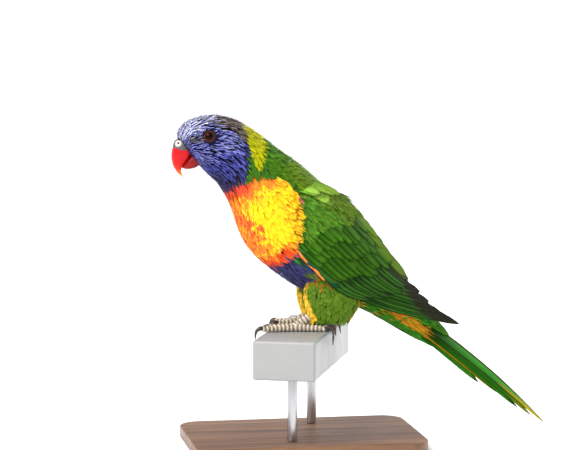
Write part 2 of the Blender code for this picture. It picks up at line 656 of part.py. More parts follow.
def build_head(materials, parts):
    """The head with its eye sockets, lids, bill, cere and eyes."""
    head = body_length(0.0, HEAD_END, "head", materials["head_blue"], parts)
    lids = []
    for side in (-1, 1):
        facing = mirrored(EYE_FACING, side)
        lids.append(lid_ring("lid", mirrored(EYE_ON_HEAD, side), facing, materials["head_blue"], parts))
    combine(head, lids, "UNION")
    cutters = [
        horn("cut_upper", UPPER_BILL, materials["bill_red"], parts, GAP),
        horn("cut_lower", LOWER_BILL, materials["bill_red"], parts, GAP),
        horn("cut_cere", CERE, materials["bill_red"], parts, GAP),
    ]
    for side, name in ((-1, "left"), (1, "right")):
        facing = mirrored(EYE_FACING, side)
        centre = mirrored(EYE_ON_HEAD, side) - facing * EYE_DEPTH
        cutters.append(ball("socket", centre, EYEBALL_RADIUS + GAP, materials["eye_dark"], parts))
        eye = ball("eye_" + name, centre, EYEBALL_RADIUS, materials["eye_dark"], parts, facing=facing)
        shade(eye)
    combine(head, cutters, "DIFFERENCE")
    shade(keep_largest(head))

    upper = horn("bill_upper", UPPER_BILL, materials["bill_red"], parts)
    lower = horn("bill_lower", LOWER_BILL, materials["bill_red"], parts)
    combine(lower, [horn("cut_upper", UPPER_BILL, materials["bill_red"], parts, GAP)], "DIFFERENCE")
    cere = horn("cere", CERE, materials["cere_grey"], parts)
    pits = [
        ball("pit", mirrored(NOSTRIL_CENTRE, side), NOSTRIL_RADIUS, materials["cere_grey"], parts,
             NOSTRIL_SEGMENTS, NOSTRIL_RINGS)
        for side in (-1, 1)
    ]
    pits.append(horn("cut_upper", UPPER_BILL, materials["bill_red"], parts, GAP))
    pits.append(horn("cut_lower", LOWER_BILL, materials["bill_red"], parts, GAP))
    combine(cere, pits, "DIFFERENCE")
    for obj in (upper, lower, cere):
        shade(keep_largest(obj))


def build_body(materials, parts):
    lengths = (
        ("neck", HEAD_END, NECK_END, "nape_green"),
        ("torso", NECK_END, BREAST_END, "breast_yellow"),
        ("rump", BREAST_END, RUMP_END, "belly_green"),
    )
    for name, start, end, colour in lengths:
        shade(body_length(seam(start), end, name, materials[colour], parts))
    for side_name, side in (("left", -1), ("right", 1)):
        thigh = new_body(
            "thigh_" + side_name, *loft_mesh(thigh_rings(side)), materials["belly_green"], parts
        )
        body = body_length(0.0, TAIL_ROOT_END, "body_cutter", materials["belly_green"], parts, GAP)
        combine(thigh, [body], "DIFFERENCE")
        shade(keep_largest(thigh))


def tail_feather(order, side):
    """One tail feather, tilted about its own shaft and bowed up between root and tip."""
    root_y, tip_x, tip_y, tip_z, bow, width = TAIL_FEATHERS[order]
    start = Vector((
        TAIL_ROOT[0] + TAIL_ROOT_STEP[0] * order, root_y * side, TAIL_ROOT[1] + TAIL_ROOT_STEP[1] * order
    ))
    stop = Vector((tip_x, tip_y * side, tip_z))
    if order == 0 and side < 0:
        stop = start.lerp(stop, LEFT_MIDDLE_LENGTH)
    axis = (stop - start).normalized()
    up = Vector((-axis.z, 0, axis.x)).normalized()
    tilt = TAIL_TILT + TAIL_TILT_STEP * order
    normal = Matrix.Rotation(-side * tilt, 3, axis) @ up
    path = [start.lerp(stop, f) + up * bow * math.sin(math.pi * f) for f in TAIL_VANE_PLACES]
    count = len(path)
    return strip(path, [normal] * count, [width * w for w in TAIL_VANE_WIDTHS], [TAIL_VANE_THICKNESS] * count)


def covert(t, angle, length, width, side):
    """A tail covert: rooted in the body and lying along it to its free end."""
    root = mirrored(body_point(t, angle), side)
    inner = mirrored(body_point(t, angle, -COVERT_DEPTH), side)
    outward = (root - inner).normalized()
    toward = (mirrored(body_point(t + COVERT_AIM, angle), side) - root).normalized()
    path = []
    for f in COVERT_PLACES:
        rise = COVERT_RISE * min(1, f * COVERT_RISE_RATE) - COVERT_DEPTH - COVERT_DROOP * f * f
        path.append(root + toward * length * f + outward * rise)
    count = len(path)
    return strip(path, [outward] * count, [width * w for w in COVERT_WIDTHS], [COVERT_THICKNESS] * count)


def build_tail(materials, parts):
    material = materials["tail_green"]
    rings = body_rings(seam(RUMP_END), TAIL_ROOT_END, step=TAIL_ROOT_RIBS, sides=TAIL_ROOT_SIDES)
    tail = new_body("tail", *loft_mesh(rings), material, parts)
    vanes = []
    for order in range(len(TAIL_FEATHERS)):
        for side in (-1, 1):
            vanes.append(new_body("tail_feather", *tail_feather(order, side), material, parts))
    for t, (first, last), length, width, count in COVERT_TIERS:
        for i in range(count):
            angle = first + (last - first) * i / (count - 1)
            for side in (-1, 1):
                vanes.append(new_body("covert", *covert(t, angle, length, width, side), material, parts))
    combine(tail, vanes, "UNION")
    short_of_seam = RUMP_END + CUTTER_SHORT_OF_SEAM * (seam(RUMP_END) - RUMP_END)
    rump = body_length(BREAST_END, short_of_seam, "rump_cutter", material, parts, GAP)
    combine(tail, [rump], "DIFFERENCE")
    shade(keep_largest(tail))


def into(collection, obj):
    """Moves an object that an operator made into the part's own collection."""
    for home in list(obj.users_collection):
        home.objects.unlink(obj)
    collection.objects.link(obj)


def build_rail(material, parts):
    bpy.ops.mesh.primitive_cube_add(size=1.0)
    rail = bpy.context.active_object
    rail.name = rail.data.name = "stand_perch"
    rail.data.transform(Matrix.Diagonal((RAIL_WIDTH * MM, RAIL_LENGTH * MM, RAIL_HEIGHT * MM, 1.0)))
    rail.location = (0.0, 0.0, (RAIL_TOP - RAIL_HEIGHT / 2) * MM)
    rail.rotation_euler = (0.0, 0.0, -RAIL_TURN)
    rounding = rail.modifiers.new("rounding", "BEVEL")
    rounding.width = RAIL_ROUNDING * MM
    rounding.segments = RAIL_ROUNDING_STEPS
    rail.data.materials.append(material)
    into(parts, rail)


def build_base(material, parts):
    work = bmesh.new()
    bmesh.ops.create_cube(work, size=1.0)
    bmesh.ops.scale(work, vec=(BASE_LENGTH * MM, BASE_WIDTH * MM, BASE_THICKNESS * MM), verts=work.verts)
    upright = [e for e in work.edges if abs(e.verts[0].co.z - e.verts[1].co.z) > BASE_THICKNESS * MM / 2]
    bmesh.ops.bevel(
        work, geom=upright, offset=BASE_ROUNDING * MM, segments=BASE_ROUNDING_STEPS, profile=0.5, affect="EDGES"
    )
    bmesh.ops.translate(work, vec=(0, 0, BASE_THICKNESS * MM / 2), verts=work.verts)
    mesh = bpy.data.meshes.new("stand_base")
    work.to_mesh(mesh)
    work.free()
    mesh.materials.append(material)
    parts.objects.link(bpy.data.objects.new("stand_base", mesh))


def build_rods(material, parts):
    low = BASE_THICKNESS + GAP
    high = RAIL_TOP - RAIL_HEIGHT - GAP
    for name, end in (("stand_rod_near", -1), ("stand_rod_far", 1)):
        reach = end * ROD_SPACING / 2
        bpy.ops.mesh.primitive_cylinder_add(
            vertices=ROD_SIDES, radius=ROD_RADIUS * MM, depth=(high - low) * MM,
            location=(reach * math.sin(RAIL_TURN) * MM, reach * math.cos(RAIL_TURN) * MM, (low + high) / 2 * MM),
        )
        rod = bpy.context.active_object
        rod.name = name
        rod.data.materials.append(material)
        into(parts, rod)
        shade(rod)


def main():
    clear_scene()
    materials = make_materials()
    parts = bpy.data.collections.new("rainbow_lorikeet")
    bpy.context.scene.collection.children.link(parts)
    build_head(materials, parts)
    build_body(materials, parts)
    build_wing(1, "wing_right", materials, parts, body_cutters(materials, parts))
    build_wing(-1, "wing_left", materials, parts, body_cutters(materials, parts))
    build_tail(materials, parts)
    build_feet(materials, parts)
    build_rail(materials["rail_paint"], parts)
    build_base(materials["base_wood"], parts)
    build_rods(materials["rod_steel"], parts)


main()
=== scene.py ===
"""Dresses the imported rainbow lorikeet: its plumage, bill, eyes, feet and stand, and a plain studio round it.

Sizes are in millimetres in the bird's own frame: X runs from bill to tail, Y from its left to its right and
Z up from the top of the rail. place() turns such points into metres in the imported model's frame. The body is
told by its ribs: t is the place along it, and the angle round it is 0 on the back and pi on the belly.
"""

import math
from functools import partial

import bmesh
import bpy
import numpy as np
from mathutils import Matrix, Vector


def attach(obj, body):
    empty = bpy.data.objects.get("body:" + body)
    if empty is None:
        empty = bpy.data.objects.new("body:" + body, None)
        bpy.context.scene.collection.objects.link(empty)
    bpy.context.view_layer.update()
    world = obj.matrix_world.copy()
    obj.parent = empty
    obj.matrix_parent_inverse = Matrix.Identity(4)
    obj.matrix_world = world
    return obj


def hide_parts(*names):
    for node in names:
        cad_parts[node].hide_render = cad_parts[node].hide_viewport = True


bl_info = {
    "name": "Rainbow lorikeet model",
    "version": (1, 0, 0),
    "blender": (4, 5, 0),
    "location": "View3D > Sidebar > Lorikeet",
    "description": "Plumage, bill, eyes, feet and stand of a life-size rainbow lorikeet",
    "category": "Add Mesh",
}

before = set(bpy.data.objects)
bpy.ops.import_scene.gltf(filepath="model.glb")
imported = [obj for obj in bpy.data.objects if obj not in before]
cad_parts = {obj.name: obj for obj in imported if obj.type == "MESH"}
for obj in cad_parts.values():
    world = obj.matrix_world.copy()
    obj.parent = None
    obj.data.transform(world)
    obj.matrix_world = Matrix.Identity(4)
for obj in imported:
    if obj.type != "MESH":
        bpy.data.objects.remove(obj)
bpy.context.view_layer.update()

MM = 0.001
PROBE = 0.01
RAIL_TOP, BIRD_FORWARD_OF_RAIL = 76.0, 2.5
SIDES = {"left": -1, "right": 1}

# The body from bill to tail: back x, back z, belly x, belly z, half width
RIBS = (
    (-78.6, 124.0, -63.6, 105.6, 7.4),
    (-77.0, 129.4, -61.0, 103.0, 10.8),
    (-72.4, 134.0, -57.0, 99.0, 13.4),
    (-64.0, 137.2, -53.0, 95.5, 15.0),
    (-54.0, 138.0, -50.4, 91.8, 16.0),
    (-44.2, 136.2, -47.6, 87.2, 16.6),
    (-34.4, 131.6, -45.0, 82.0, 17.2),
    (-24.0, 124.3, -42.6, 76.2, 18.4),
    (-12.0, 115.0, -40.6, 69.6, 20.2),
    (1.0, 105.6, -37.8, 62.2, 22.0),
    (13.4, 94.8, -34.0, 55.0, 23.4),
    (24.0, 85.2, -29.0, 48.6, 24.2),
    (33.6, 76.0, -22.4, 42.4, 24.4),
    (42.0, 64.8, -13.0, 35.0, 24.0),
    (50.0, 53.4, -3.4, 28.4, 22.6),
    (57.4, 42.8, 8.6, 22.6, 20.4),
    (64.2, 33.0, 23.0, 18.2, 17.2),
    (71.0, 24.6, 38.0, 13.2, 14.0),
    (78.0, 16.8, 52.0, 6.0, 11.4),
    (85.4, 9.0, 65.0, -1.6, 9.2),
    (92.6, 1.4, 78.0, -8.6, 7.0),
)
BODY_FULLNESS, BODY_END = 0.94, 20.0

# The thigh: height, centre x, half length, half width
THIGH_RIBS = (
    (38.0, 17.0, 9.0, 5.0),
    (30.0, 18.5, 16.0, 9.0),
    (22.0, 19.5, 18.4, 10.6),
    (14.0, 20.4, 17.6, 9.8),
    (9.0, 20.6, 14.0, 7.6),
    (6.4, 20.4, 8.0, 4.4),
)
THIGH_Y = 13.4

# The wing: upper edge x, y, z, lower edge x, y, z, bulge between them, thickness of the core
WING_RIBS = (
    (-6.2, 14.5, 93.0, -3.2, 20.5, 83.0, 3.2, 5.0),
    (5.1, 13.0, 92.6, -5.2, 24.0, 65.0, 6.0, 6.0),
    (20.2, 12.0, 87.0, -3.7, 26.0, 53.7, 7.8, 7.0),
    (31.5, 11.0, 78.0, 3.9, 26.6, 44.8, 8.6, 7.0),
    (40.9, 10.0, 67.0, 12.3, 26.4, 36.3, 8.6, 7.0),
    (50.3, 9.0, 54.8, 22.2, 25.2, 27.6, 7.4, 6.0),
    (59.8, 8.0, 43.3, 34.5, 22.4, 21.2, 5.8, 4.4),
    (69.3, 7.0, 32.6, 49.9, 18.4, 14.3, 4.2, 2.8),
    (79.6, 6.2, 24.0, 67.2, 14.4, 8.8, 2.6, 1.9),
    (92.0, 5.8, 15.0, 84.6, 10.8, 4.9, 1.2, 1.5),
    (105.0, 6.0, 1.8, 104.5, 8.0, 0.8, 0.2, 1.2),
)

# The bill: culmen x, culmen z, cutting edge x, cutting edge z, half width
UPPER_BILL = (
    (-76.6, 120.0, -65.6, 116.6, 5.0),
    (-80.2, 119.0, -68.1, 115.3, 6.1),
    (-81.6, 114.9, -70.6, 111.7, 5.9),
    (-81.8, 110.8, -73.0, 108.2, 5.1),
    (-80.9, 106.6, -74.9, 105.8, 3.9),
    (-79.4, 103.6, -75.8, 103.2, 2.7),
    (-77.4, 101.0, -75.4, 101.0, 1.6),
    (-74.6, 98.9, -74.0, 98.9, 0.35),
)
LOWER_BILL = (
    (-65.0, 115.0, -61.4, 107.6, 4.2),
    (-67.6, 114.4, -64.2, 106.2, 5.1),
    (-70.0, 112.4, -66.4, 104.9, 4.9),
    (-72.4, 110.0, -69.4, 104.1, 4.3),
    (-74.2, 107.4, -72.4, 103.9, 3.2),
    (-75.4, 105.9, -74.8, 104.5, 1.9),
)
CERE = (
    (-75.8, 123.4, -68.0, 116.2, 5.4),
    (-79.2, 122.4, -69.6, 116.4, 6.2),
    (-80.5, 119.9, -70.6, 115.6, 6.5),
    (-80.9, 117.9, -71.0, 114.9, 6.3),
)
HORN_FULLNESS, HORN_LEAST_WIDTH = 0.8, 0.3
NOSTRIL = (-78.2, 5.1, 120.9)

EYE_ON_HEAD = np.array((-59.6, 13.7, 125.4))
EYE_FACING = np.array((-0.24, 0.93, 0.22)) / np.linalg.norm((-0.24, 0.93, 0.22))
EYEBALL_RADIUS, EYE_DEPTH, LID_RADIUS = 4.3, 3.0, 3.75

# The tail's feathers from the middle pair outwards: y of the root, tip x, y, z, rise of the bow, width
TAIL_FEATHERS = (
    (4.1, 165.6, 2.0, -67.9, 2.0, 10.4),
    (4.4, 155.5, 2.8, -62.0, 2.0, 10.4),
    (4.4, 145.6, 3.4, -55.9, 1.4, 10.0),
    (4.2, 131.8, 3.8, -45.6, 1.6, 9.6),
    (3.95, 118.8, 4.0, -38.3, 1.2, 9.0),
    (3.5, 104.0, 4.0, -23.9, 0.8, 8.2),
)
TAIL_ROOT, TAIL_ROOT_STEP = (81.0, 3.6), (-0.85, -0.98)
TAIL_TILT, TAIL_TILT_STEP = math.radians(30.0), math.radians(6.0)
LEFT_MIDDLE_LENGTH = 0.96
# How far the tail's coverts are sunk, how high and how fast they rise, and how they bend down again
TAIL_COVERT_SUNK, TAIL_COVERT_RISE, TAIL_COVERT_SLOPE, TAIL_COVERT_BEND = 1.4, 2.4, 1.8, 1.6
TAIL_COVERT_STRAY, TAIL_COVERT_LENGTHS = 0.12, (0.88, 1.08)

# The feet: x and y of each toe's root and end, then points of the claw's middle line
TOE_RADIUS, TOE_END_RADIUS, TOE_LIFT = 2.35, 1.75, 0.3
CLAW_RADIUS, CLAW_TAPER, CLAW_OVER_TOE = 1.35, 0.86, 0.6
CLAW_LEAST_FORWARD, CLAW_MOST_REACH = 0.2, 6.0
TARSUS_Y = 13.0
TARSUS = ((-4.6, 3.0, 2.5), (-1.0, 5.2, 2.4), (4.0, 8.4, 2.5), (10.0, 12.6, 2.7))
FOOT_SHIFT = {"left": 0.0, "right": 5.6}
TOES = {
    "left": {
        "outer_front": ((-4.8, -14.0), (-25.4, -15.8), ((-27.6, 2.7), (-30.2, 0.6), (-31.0, -4.6))),
        "inner_front": ((-4.4, -12.0), (-19.4, -6.4), ((-21.4, 2.6), (-23.4, 2.0), (-24.8, 0.7))),
        "outer_rear": ((-4.0, -14.6), (13.0, -19.4), ((15.6, 3.6), (18.8, 0.6), (18.6, -8.6))),
        "inner_rear": ((-3.6, -12.2), (14.6, -8.6), ((17.6, 3.8), (22.2, 1.8), (23.2, -4.6))),
    },
    "right": {
        "outer_front": ((1.2, 13.0), (-10.8, 19.6), ((-12.8, 2.8), (-14.6, 0.6), (-15.2, -4.0))),
        "inner_front": ((1.4, 11.4), (-11.4, 8.0), ((-13.6, 2.8), (-16.4, 1.2), (-18.4, -3.6))),
        "outer_rear": ((3.0, 13.6), (19.2, 17.0), ((21.4, 2.7), (24.2, 2.4), (26.8, 0.9))),
        "inner_rear": ((2.6, 11.6), (19.6, 7.2), ((22.4, 3.9), (27.2, 2.6), (29.0, -5.2))),
    },
}

# How deep the skin lies under the plumage's surface, by the place along the body
SKIN_DEPTH = ((0.0, 0.9), (3.0, 1.5), (6.5, 1.9), (9.0, 2.4), (20.0, 2.6))
BAKE_PATCH = 0.003


# Colours

def linear(code):
    """An sRGB colour such as #5d5ea2 as linear values."""
    values = np.array([int(code[i:i + 2], 16) for i in (1, 3, 5)]) / 255
    return tuple(np.where(values <= 0.04045, values / 12.92, ((values + 0.055) / 1.055) ** 2.4))


# Each kind of feather: colours of its root, its vane, its tip, its rim and its shaft. The darker root and the
# rim, dark in most kinds, are painted shade under and between the feathers
FEATHER_COLOURS = {
    # The forehead's near-white is partly its own lilac and partly painted highlight of the light on the top of
    # the head
    "forehead": ("#acb2ff", "#d2d5ff", "#eeefff", "#b0b5f8", "#f8f8ff"),
    "crown": ("#6a68b8", "#b0aef2", "#d4d2fb", "#7a78c4", "#e8e6fd"),
    "hind_crown": ("#040303", "#1e1618", "#64524a", "#0a0607", "#a4948c"),
    "cheek": ("#0a0914", "#5054ec", "#7a80ff", "#100e1a", "#a8acff"),
    # A lighter cheek: painted highlight on the upper cheek
    "cheek_highlight": ("#100e24", "#686cf0", "#9296ff", "#181630", "#bcc0ff"),
    "throat": ("#08070e", "#2e2e88", "#484abc", "#0c0a14", "#7076e8"),
    "throat_low": ("#06050a", "#201f48", "#2b2b62", "#0a0810", "#43458e"),
    "lores": ("#21212a", "#403d4c", "#5d596e", "#24222a", "#a6a1b7"),
    "collar": ("#5c6000", "#b0b000", "#c4c208", "#9ca000", "#cccc14"),
    "side_neck": ("#1a3804", "#2e600c", "#407814", "#244806", "#508620"),
    "nape_low": ("#163101", "#3a6e04", "#4d830a", "#2b5406", "#598f12"),
    "mantle": ("#1f3401", "#4e7403", "#6a880a", "#3b5c04", "#7f9811"),
    "back": ("#1c3302", "#4a7605", "#6f910d", "#325706", "#7c9a14"),
    "breast_red": ("#7c1406", "#ec3a1c", "#fc5634", "#a02a12", "#ff7a4e"),
    "breast_orange": ("#b84a04", "#f47c12", "#ff9c2c", "#d8500c", "#ffb446"),
    "breast_yellow": ("#e09408", "#fbc40c", "#ffe61c", "#f4a808", "#fff040"),
    "breast_gold": ("#a85c06", "#eba60a", "#fbc21a", "#b86208", "#fcd038"),
    "breast_rim": ("#5c0c04", "#e03208", "#f8581c", "#9c1c08", "#ff8040"),
    "belly": ("#08080e", "#1a1a3e", "#323264", "#0a0a16", "#5a5a9c"),
    "belly_green": ("#0c1a0c", "#1e5a2a", "#2c7034", "#10240e", "#3a8040"),
    "belly_red": ("#3a0a02", "#cc3410", "#ee5a1c", "#40140a", "#f8803c"),
    "flank": ("#122c06", "#2f6a12", "#3f801a", "#1c4408", "#4c8c24"),
    "thigh": ("#1a3606", "#3c620c", "#5a821c", "#264808", "#8aa430"),
    "thigh_front": ("#a86408", "#f8b418", "#ffce38", "#cc8410", "#ffdc5c"),
    "vent_green": ("#163d05", "#2f7411", "#448d1a", "#25570a", "#56a026"),
    "vent_yellow": ("#5c2c02", "#ac700a", "#c48a12", "#6c4006", "#dcb038"),
    "vent_orange": ("#5a1802", "#b4500a", "#cc6c10", "#7a2c08", "#e08a30"),
    "rump": ("#16320a", "#3c7a14", "#58941c", "#28520c", "#689e28"),
    "wing_covert": ("#102a04", "#2b5a08", "#3c7009", "#0c2604", "#5c8c2c"),
    "wing_bright": ("#20500a", "#448a14", "#60982a", "#2c5e0e", "#76a844"),
    "wing_lesser": ("#163406", "#3c7210", "#508a18", "#143006", "#74a83c"),
    "wing_edge": ("#903808", "#e87428", "#f49040", "#c05818", "#ffb068"),
    "wing_olive": ("#20380a", "#4a6e10", "#5e7c16", "#2c480a", "#70882a"),
    "wing_flight": ("#081a04", "#193f06", "#21520c", "#061404", "#376c1c"),
    "wing_teal": ("#081c14", "#0e4a34", "#145844", "#081c14", "#1e6a50"),
    "wing_tongue": ("#2c5a0c", "#6ca81e", "#a0c448", "#346014", "#b4d060"),
    "wing_pink": ("#7a2018", "#f0605a", "#ff9a90", "#a03a30", "#ffb0a0"),
    "wing_orange": ("#8a3008", "#f48a40", "#ffb070", "#c05018", "#ffc080"),
    "wing_tip": ("#100e0a", "#26221c", "#342e26", "#16120e", "#453c32"),
    "tail_green": ("#113806", "#287916", "#37891d", "#183a08", "#4e9e30"),
    "tail_brown": ("#2a1408", "#5a2c10", "#6a3a14", "#2a1408", "#7a4a20"),
    "tail_olive": ("#4a5208", "#8a9a18", "#a8a422", "#5c5410", "#b8b440"),
}


def feather_look(name):
    return [linear(code) for code in FEATHER_COLOURS[name]]


LOOK_NAMES = tuple(FEATHER_COLOURS)
BUILT_IN_LOOKS = np.array([feather_look(name) for name in LOOK_NAMES])
LOOKS = BUILT_IN_LOOKS.copy()
LOOK = {name: i for i, name in enumerate(LOOK_NAMES)}
ROOT, VANE, TIP, RIM, SHAFT = range(5)


# Shapes

def place(points):
    """Points of the bird's frame, in millimetres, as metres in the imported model's frame."""
    return (np.asarray(points, float) + (-BIRD_FORWARD_OF_RAIL, 0.0, RAIL_TOP)) * MM


def unit(vectors):
    return vectors / np.maximum(np.linalg.norm(vectors, axis=-1, keepdims=True), 1e-9)


def along(table, t):
    """Rows of a table at the fractional indices t, on a smooth curve through its rows."""
    rows = np.asarray(table, float)
    t = np.asarray(t, float)
    i = np.clip(np.floor(t).astype(int), 0, len(rows) - 2)
    f = (t - i)[..., None]
    longer = np.vstack((2 * rows[0] - rows[1], rows, 2 * rows[-1] - rows[-2]))
    p0, p1, p2, p3 = (longer[i + k] for k in range(4))
    return 0.5 * (2 * p1 + (p2 - p0) * f + (2 * p0 - 5 * p1 + 4 * p2 - p3) * f**2
                  + (3 * p1 - p0 - 3 * p2 + p3) * f**3)


def table_value(table, at):
    """The value at a place, from a table of places and values."""
    places, values = zip(*table)
    return np.interp(at, places, values)


def rounded(value, fullness):
    """A sine or cosine bent so that an oval grows fuller below 1 and slimmer above it."""
    return np.sign(value) * np.abs(value) ** fullness


def body_point(t, angle, lift=0.0):
    """Points on the body's surface, or over it by the lift."""
    back_x, back_z, belly_x, belly_z, half_width = np.moveaxis(along(RIBS, t), -1, 0)
    nothing = np.zeros_like(back_x)
    centre = np.stack(((back_x + belly_x) / 2, nothing, (back_z + belly_z) / 2), -1)
    arm = np.stack(((back_x - belly_x) / 2, nothing, (back_z - belly_z) / 2), -1)
    reach = np.linalg.norm(arm, axis=-1)
    height = rounded(np.cos(angle), BODY_FULLNESS) * (reach + lift)
    width = rounded(np.sin(angle), BODY_FULLNESS) * (half_width + lift)
    point = centre + unit(arm) * height[..., None]
    point[..., 1] += width
    return point


def thigh_point(side):
    """The thigh's surface: t runs down its ribs, and the angle is 0 at its rear."""
    def point(t, angle, lift=0.0):
        height, centre_x, half_length, half_width = np.moveaxis(along(THIGH_RIBS, t), -1, 0)
        return np.stack((
            centre_x + (half_length + lift) * np.cos(angle),
            side * (THIGH_Y + (half_width + lift) * np.sin(angle)),
            height + 0 * angle,
        ), -1)
    return point


def wing_surface(side):
    """The folded wing's surface: s runs along it from 0 to 1, c across it from -1 below to 1 above."""
    def flat(s, c):
        row = along(WING_RIBS, s * (len(WING_RIBS) - 1))
        share = ((c + 1) / 2)[..., None]
        point = row[..., 3:6] * (1 - share) + row[..., :3] * share
        point[..., 1] += row[..., 6] * (1 - c * c)
        return point

    def point(s, c, lift=0.0):
        s, c = np.broadcast_arrays(np.asarray(s, float), np.asarray(c, float))
        near, far = np.maximum(s - PROBE, 0.0), np.minimum(s + PROBE, 1.0)
        outward = unit(np.cross(flat(s, c + PROBE) - flat(s, c - PROBE), flat(far, c) - flat(near, c)))
        outward = outward * np.where(outward[..., 1:2] < 0, -1.0, 1.0)
        lifted = flat(s, c) + outward * np.asarray(lift)[..., None]
        lifted[..., 1] *= side
        return lifted
    return point


def grid(first, second):
    """The places of a grid both ways, each way from a start, a stop and a count."""
    return np.meshgrid(np.linspace(*first), np.linspace(*second), indexing="ij")


def outward_normal(surface, u, v, turned=1.0):
    ahead = surface(u + PROBE, v) - surface(u - PROBE, v)
    around = surface(u, v + PROBE) - surface(u, v - PROBE)
    return unit(np.cross(ahead, around)) * turned


def fold(angle):
    """The angle round the body, the same on both its sides."""
    return np.abs((angle + math.pi) % (2 * math.pi) - math.pi)


# Vanes

class Shape:
    """A kind of vane: places along it, its share of the full width at each, and how it is curved across."""

    def __init__(self, widths, across, camber, thickness):
        self.places = np.array([place_along for place_along, _ in widths])
        self.shares = np.array([share for _, share in widths])
        self.across = np.linspace(-1.0, 1.0, across)
        self.camber = camber
        self.thickness = thickness


BARB = Shape(((0.0, 0.6), (0.4, 1.0), (0.75, 0.8), (1.0, 0.12)), 3, 0.35, 0.0)
COVERT = Shape((
    (0.0, 0.6), (0.2, 0.9), (0.45, 1.0), (0.7, 0.98), (0.86, 0.8), (0.95, 0.5), (1.0, 0.12),
), 5, 0.06, 0.16)
FLIGHT = Shape((
    (0.0, 0.5), (0.12, 0.8), (0.3, 1.0), (0.5, 1.0), (0.68, 0.95), (0.82, 0.82), (0.92, 0.6), (0.98, 0.3),
    (1.0, 0.1),
), 7, 0.05, 0.22)
TAIL_VANE = Shape((
    (0.0, 0.86), (0.12, 0.95), (0.28, 1.0), (0.45, 0.94), (0.6, 0.83), (0.74, 0.66), (0.86, 0.47),
    (0.95, 0.26), (1.0, 0.06),
), 7, 0.10, 0.24)


def vane_rings(paths, normals, half_widths, shape):
    """Closed rings of points for many vanes at once, and how far along and across each point lies."""
    forward = unit(np.gradient(paths, axis=1))
    side = unit(np.cross(forward, normals))
    up = np.cross(side, forward)
    reach = half_widths[:, None] * shape.shares
    top = (
        paths[:, :, None]
        + side[:, :, None] * (reach[..., None] * shape.across)[..., None]
        + up[:, :, None] * (shape.camber * reach[..., None] * (1 - shape.across**2))[..., None]
    )
    rings, across = top, np.broadcast_to(shape.across, top.shape[:3])
    if shape.thickness:
        inner = slice(-2, 0, -1)
        under = top[:, :, inner] - up[:, :, None] * shape.thickness * (1 - shape.across[inner, None] ** 2)
        rings = np.concatenate((top, under), axis=2)
        across = np.concatenate((across, across[:, :, inner]), axis=2)
    along_vane = np.broadcast_to(shape.places[:, None], rings.shape[:3])
    return rings, along_vane, across


def smooth(value, low, high):
    share = np.clip((value - low) / (high - low), 0.0, 1.0)
    return share * share * (3 - 2 * share)


def blend(first, second, share):
    return first + (second - first) * share[..., None]


def over(colours, paint, share):
    """Colours with another one laid over them, by its share at each point."""
    return blend(colours, np.broadcast_to(paint, colours.shape), np.broadcast_to(share, colours.shape[:-1]))


def paint_vanes(looks, along_vane, across, rim, shaft, shaft_width=0.3, rim_power=2.0, tip_rim=0.0):
    """Colours of every point of the vanes: dark root, vane, tip, then a rim and a shaft over them. The dark
    root and a dark rim are painted shade between feathers.
    """
    parts = [looks[:, k][:, None, None] for k in range(5)]
    # The darker root: painted shade under the overlapping feathers
    colours = blend(parts[ROOT], parts[VANE], smooth(along_vane, 0.05, 0.42))
    colours = blend(colours, parts[TIP], smooth(along_vane, 0.55, 0.95))
    # The rim and the dark edge at the tip: painted shade between feathers where the rim is dark
    edge = np.abs(across) ** rim_power * rim * smooth(along_vane, 0.0, 0.2)
    colours = blend(colours, parts[RIM], np.maximum(edge, tip_rim * smooth(along_vane, 0.9, 1.0)))
    ridge = (1 - smooth(np.abs(across), 0.0, shaft_width)) * shaft * smooth(along_vane, 0.1, 0.4)
    return blend(colours, parts[SHAFT], ridge)


class Coat:
    """Vanes gathered from several calls, to be made one mesh."""

    def __init__(self):
        self.points, self.colours, self.bake, self.barbs = [], [], [], []
        self.loops, self.starts, self.count, self.loop_count = [], [], 0, 0

    def add(self, rings, colours, bake, barbs):
        vanes, stations, sides = rings.shape[:3]
        first = self.count + np.arange(vanes)[:, None, None] * stations * sides
        here = first + np.arange(stations - 1)[:, None] * sides + np.arange(sides)
        after = first + np.arange(stations - 1)[:, None] * sides + (np.arange(sides) + 1) % sides
        quads = np.stack((here, after, after + sides, here + sides), -1).reshape(-1, 4)
        near = (first[:, 0] + np.arange(sides))[:, ::-1]
        far = first[:, 0] + (stations - 1) * sides + np.arange(sides)
        caps = np.concatenate((near, far))
        for faces in (quads, caps):
            self.starts.append(self.loop_count + np.arange(len(faces)) * faces.shape[1])
            self.loops.append(faces.ravel())
            self.loop_count += faces.size
        self.points.append(rings.reshape(-1, 3))
        for store, values in ((self.colours, colours), (self.bake, bake), (self.barbs, barbs)):
            size = np.shape(values)[-1]
            store.append(np.broadcast_to(values, (*rings.shape[:3], size)).reshape(-1, size))
        self.count += vanes * stations * sides

    def mesh(self, name):
        mesh = bpy.data.meshes.new(name)
        points, loops = np.concatenate(self.points), np.concatenate(self.loops)
        mesh.vertices.add(len(points))
        mesh.vertices.foreach_set("co", place(points).astype(np.float32).ravel())
        mesh.loops.add(len(loops))
        mesh.loops.foreach_set("vertex_index", loops.astype(np.int32))
        starts = np.concatenate(self.starts)
        mesh.polygons.add(len(starts))
        mesh.polygons.foreach_set("loop_start", starts.astype(np.int32))
        mesh.update(calc_edges=True)
        colours = np.concatenate(self.colours)
        colours = np.column_stack((colours, np.ones(len(colours)))).astype(np.float32)
        paint = mesh.color_attributes.new("markings", "FLOAT_COLOR", "POINT")
        paint.data.foreach_set("color", colours.ravel())
        for map_name, store in (("OFBake", self.bake), ("barbs", self.barbs)):
            values = np.concatenate(store)[loops]
            mesh.uv_layers.new(name=map_name).data.foreach_set("uv", values.astype(np.float32).ravel())
        return mesh


